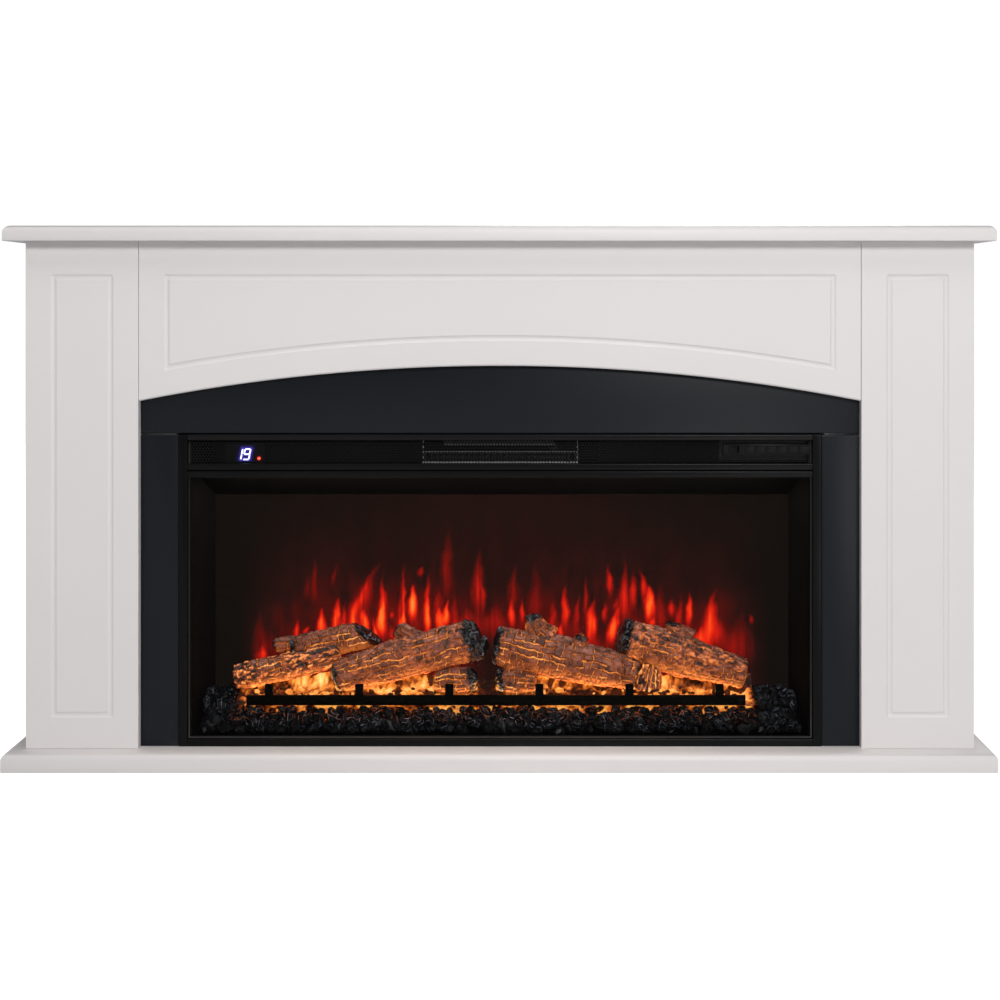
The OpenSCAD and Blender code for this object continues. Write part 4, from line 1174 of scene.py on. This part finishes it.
def display_figures():
    """Slanted seven-segment figures just in front of the mesh."""
    vertices, faces = [], []
    for start, end in lit_segments():
        along = (end - start) / np.linalg.norm(end - start)
        across = np.array([-along[1], along[0]]) * STROKE / 2
        inset = along * STROKE * 0.55
        tip = along * STROKE * 0.12
        outline = [start + tip, start + inset + across, end - inset + across, end - tip, end - inset - across,
                   start + inset - across]
        base = len(vertices)
        for y in (GRILLE_Y - 0.9, GRILLE_Y - 0.3):
            vertices += [(px, y, pz) for px, pz in outline]
        faces.append(tuple(base + k for k in range(6)))
        faces.append(tuple(base + 6 + k for k in reversed(range(6))))
        faces += [(base + k, base + 6 + k, base + 6 + (k + 1) % 6, base + (k + 1) % 6) for k in range(6)]
    s = Shader("lit_figures", 0.4)
    s.to("Base Color", s.mottle(s.noise(500.0), (0.5, 0.5, 0.6), (0.6, 0.6, 0.7)))
    s.glow(s.mottle(s.noise(300.0), (0.74, 0.74, 1.0), (0.90, 0.90, 1.0)), 1.6)
    make_object("display_figures", np.array(vertices) * MM, faces, s.mat, angle=20.0)


def signal_lamp():
    """Red lamp beside the figures: (radius, depth) rings of a small dome."""
    turn = np.linspace(0, 2 * math.pi, 24, endpoint=False)
    ring = np.stack([np.cos(turn), np.sin(turn)], axis=1)
    layers = ((2.6, -0.3), (2.6, -0.8), (2.0, -1.1), (1.2, -1.0), (0.7, -0.7), (0.05, -0.6))
    vertices = np.concatenate([np.column_stack([LAMP[0] + ring[:, 0] * r, np.full(24, GRILLE_Y + dy),
                                                LAMP[1] + ring[:, 1] * r]) for r, dy in layers])
    s = Shader("red_lamp", 0.3)
    s.to("Base Color", s.mottle(s.noise(400.0), (0.3, 0.01, 0.01), (0.4, 0.02, 0.01)))
    s.glow(s.mottle(s.noise(900.0), (1.0, 0.05, 0.02), (1.0, 0.16, 0.08)), 1.3)
    make_object("signal_lamp", vertices * MM, grid_faces(len(layers), 24, wrap=True), s.mat,
                angle=30.0)


def display_halo():
    """Light that the figures and the lamp spread over the mesh."""
    (x0, _, _), (x1, _, z1) = DISPLAY_LOW, DISPLAY_HIGH
    xs = np.arange(x0 + 4, x1 + 2, 0.8)
    zs = np.arange(z1 - 32, z1 + 2, 0.8)
    xx, zz = (v.ravel() for v in np.meshgrid(xs, zs))
    spots = np.stack([xx, zz], axis=1)
    away = np.full(len(spots), 99.0)
    for start, end in lit_segments():
        reach = end - start
        t = np.clip(((spots - start) @ reach) / (reach @ reach), 0, 1)
        away = np.minimum(away, np.linalg.norm(spots - start - t[:, None] * reach, axis=1))
    fade = smoothstep(0, 5, np.minimum(xx - xs[0], xs[-1] - xx))
    fade = fade * smoothstep(0, 4, np.minimum(zz - zs[0], zs[-1] - zz))
    violet = np.exp(-np.maximum(away - 1.0, 0) / 3.2) * fade
    red = np.exp(-np.maximum(np.linalg.norm(spots - LAMP, axis=1) - 2.0, 0) / 1.7) * fade
    s = Shader("display_halo", 0.6, specular=0.0)
    s.to("Base Color", s.mottle(s.noise(300.0), (0.002, 0.002, 0.004), (0.003, 0.003, 0.006)))
    s.to("Alpha", s.math("MULTIPLY", s.math("MAXIMUM", s.attribute("violet"), s.attribute("red")), 0.75))
    s.glow(s.mix(1.0, s.mix(s.attribute("violet"), (0, 0, 0), (0.16, 0.12, 0.95)),
                 s.mix(s.attribute("red"), (0, 0, 0), (0.9, 0.01, 0.01)), "ADD"), 1.0)
    points = np.column_stack([xx, np.full(len(xx), GRILLE_Y - 0.15), zz]) * MM
    make_object("display_halo", points, grid_faces(len(zs), len(xs)), s.mat,
                values={"violet": violet, "red": red})


def blower_guard():
    """Ribbed strip over the blower's intake, seen through the upper holes of the grille."""
    grille_back = box_mm("air_grille")[1][1]
    low_x, high_x, low_z, high_z = -96.0, 92.0, 537.5, 546.5
    xs = np.linspace(low_x, high_x, 141)
    ripple = 0.5 * np.cos(np.arange(len(xs)) * math.pi / 2)
    vertices = np.concatenate([np.column_stack([xs, grille_back + 1.2 + ripple, np.full(len(xs), z)])
                               for z in (low_z, (low_z + high_z) / 2, high_z)])
    guard = plain("guard_steel", (0.03, 0.034, 0.034), (0.05, 0.055, 0.055), 0.5, specular=0.4, grain=900.0)
    make_object("blower_guard", vertices * MM, grid_faces(3, len(xs)), guard, angle=40.0)


def outlet_lip():
    """Folded edge round the mouth of the heater duct, just behind the mesh; its bottom run is painted bright
    as a painted highlight, its sides and top run darker as painted shade.
    """
    x0, x1 = box_mm("heater_duct")[0][0], box_mm("heater_duct")[1][0]
    z0, z1 = 508.9, 528.0
    front = box_mm("air_grille")[1][1] + 0.1
    points, faces, shine = [], [], []
    # Painted light and shade: value 1 paints the bottom run bright, 0.45 the sides and 0.25 the top run
    # darker
    for low, high, value in (((x0, z0), (x1, z0 + 1.5), 1.0), ((x0, z1 - 1.2), (x1, z1), 0.25),
                             ((x0, z0 + 1.5), (x0 + 1.3, z1 + 18), 0.45),
                             ((x1 - 1.3, z0 + 1.5), (x1, z1 + 18), 0.45)):
        corners, sides = box_mesh((low[0], front, low[1]), (high[0], front + 0.35, high[1]))
        faces += [tuple(len(points) + i for i in side) for side in sides]
        points += corners
        shine += [value] * 8
    s = Shader("folded_edge", 0.45, specular=0.4)
    s.to("Base Color", s.ramp(s.attribute("tone"), [(0.0, (0.01, 0.01, 0.01)), (1.0, (0.42, 0.43, 0.43))]))
    s.to("Roughness", s.values(s.noise(800.0), 0.35, 0.55))
    make_object("outlet_lip", np.array(points) * MM, faces, s.mat, values={"tone": shine})


perforated_grille()
display_figures()
signal_lamp()
display_halo()
blower_guard()
outlet_lip()

# ---------------------------------------------------------------- light inside the fire


def fire_lights():
    """Light that the embers throw up at the logs, and the lamp strip above them."""
    amber = (1.0, 0.38, 0.10)
    warm_white = (1.0, 0.86, 0.74)
    area_light("ember_light", (-0.01, -0.075, 0.112), (-0.01, -0.06, 0.3), (0.84, 0.03), 0.9, amber)
    area_light("lamp_strip", (0.0, -0.112, 0.485), (0.0, -0.075, 0.12), (0.95, 0.02), 1.0, warm_white)


fire_lights()
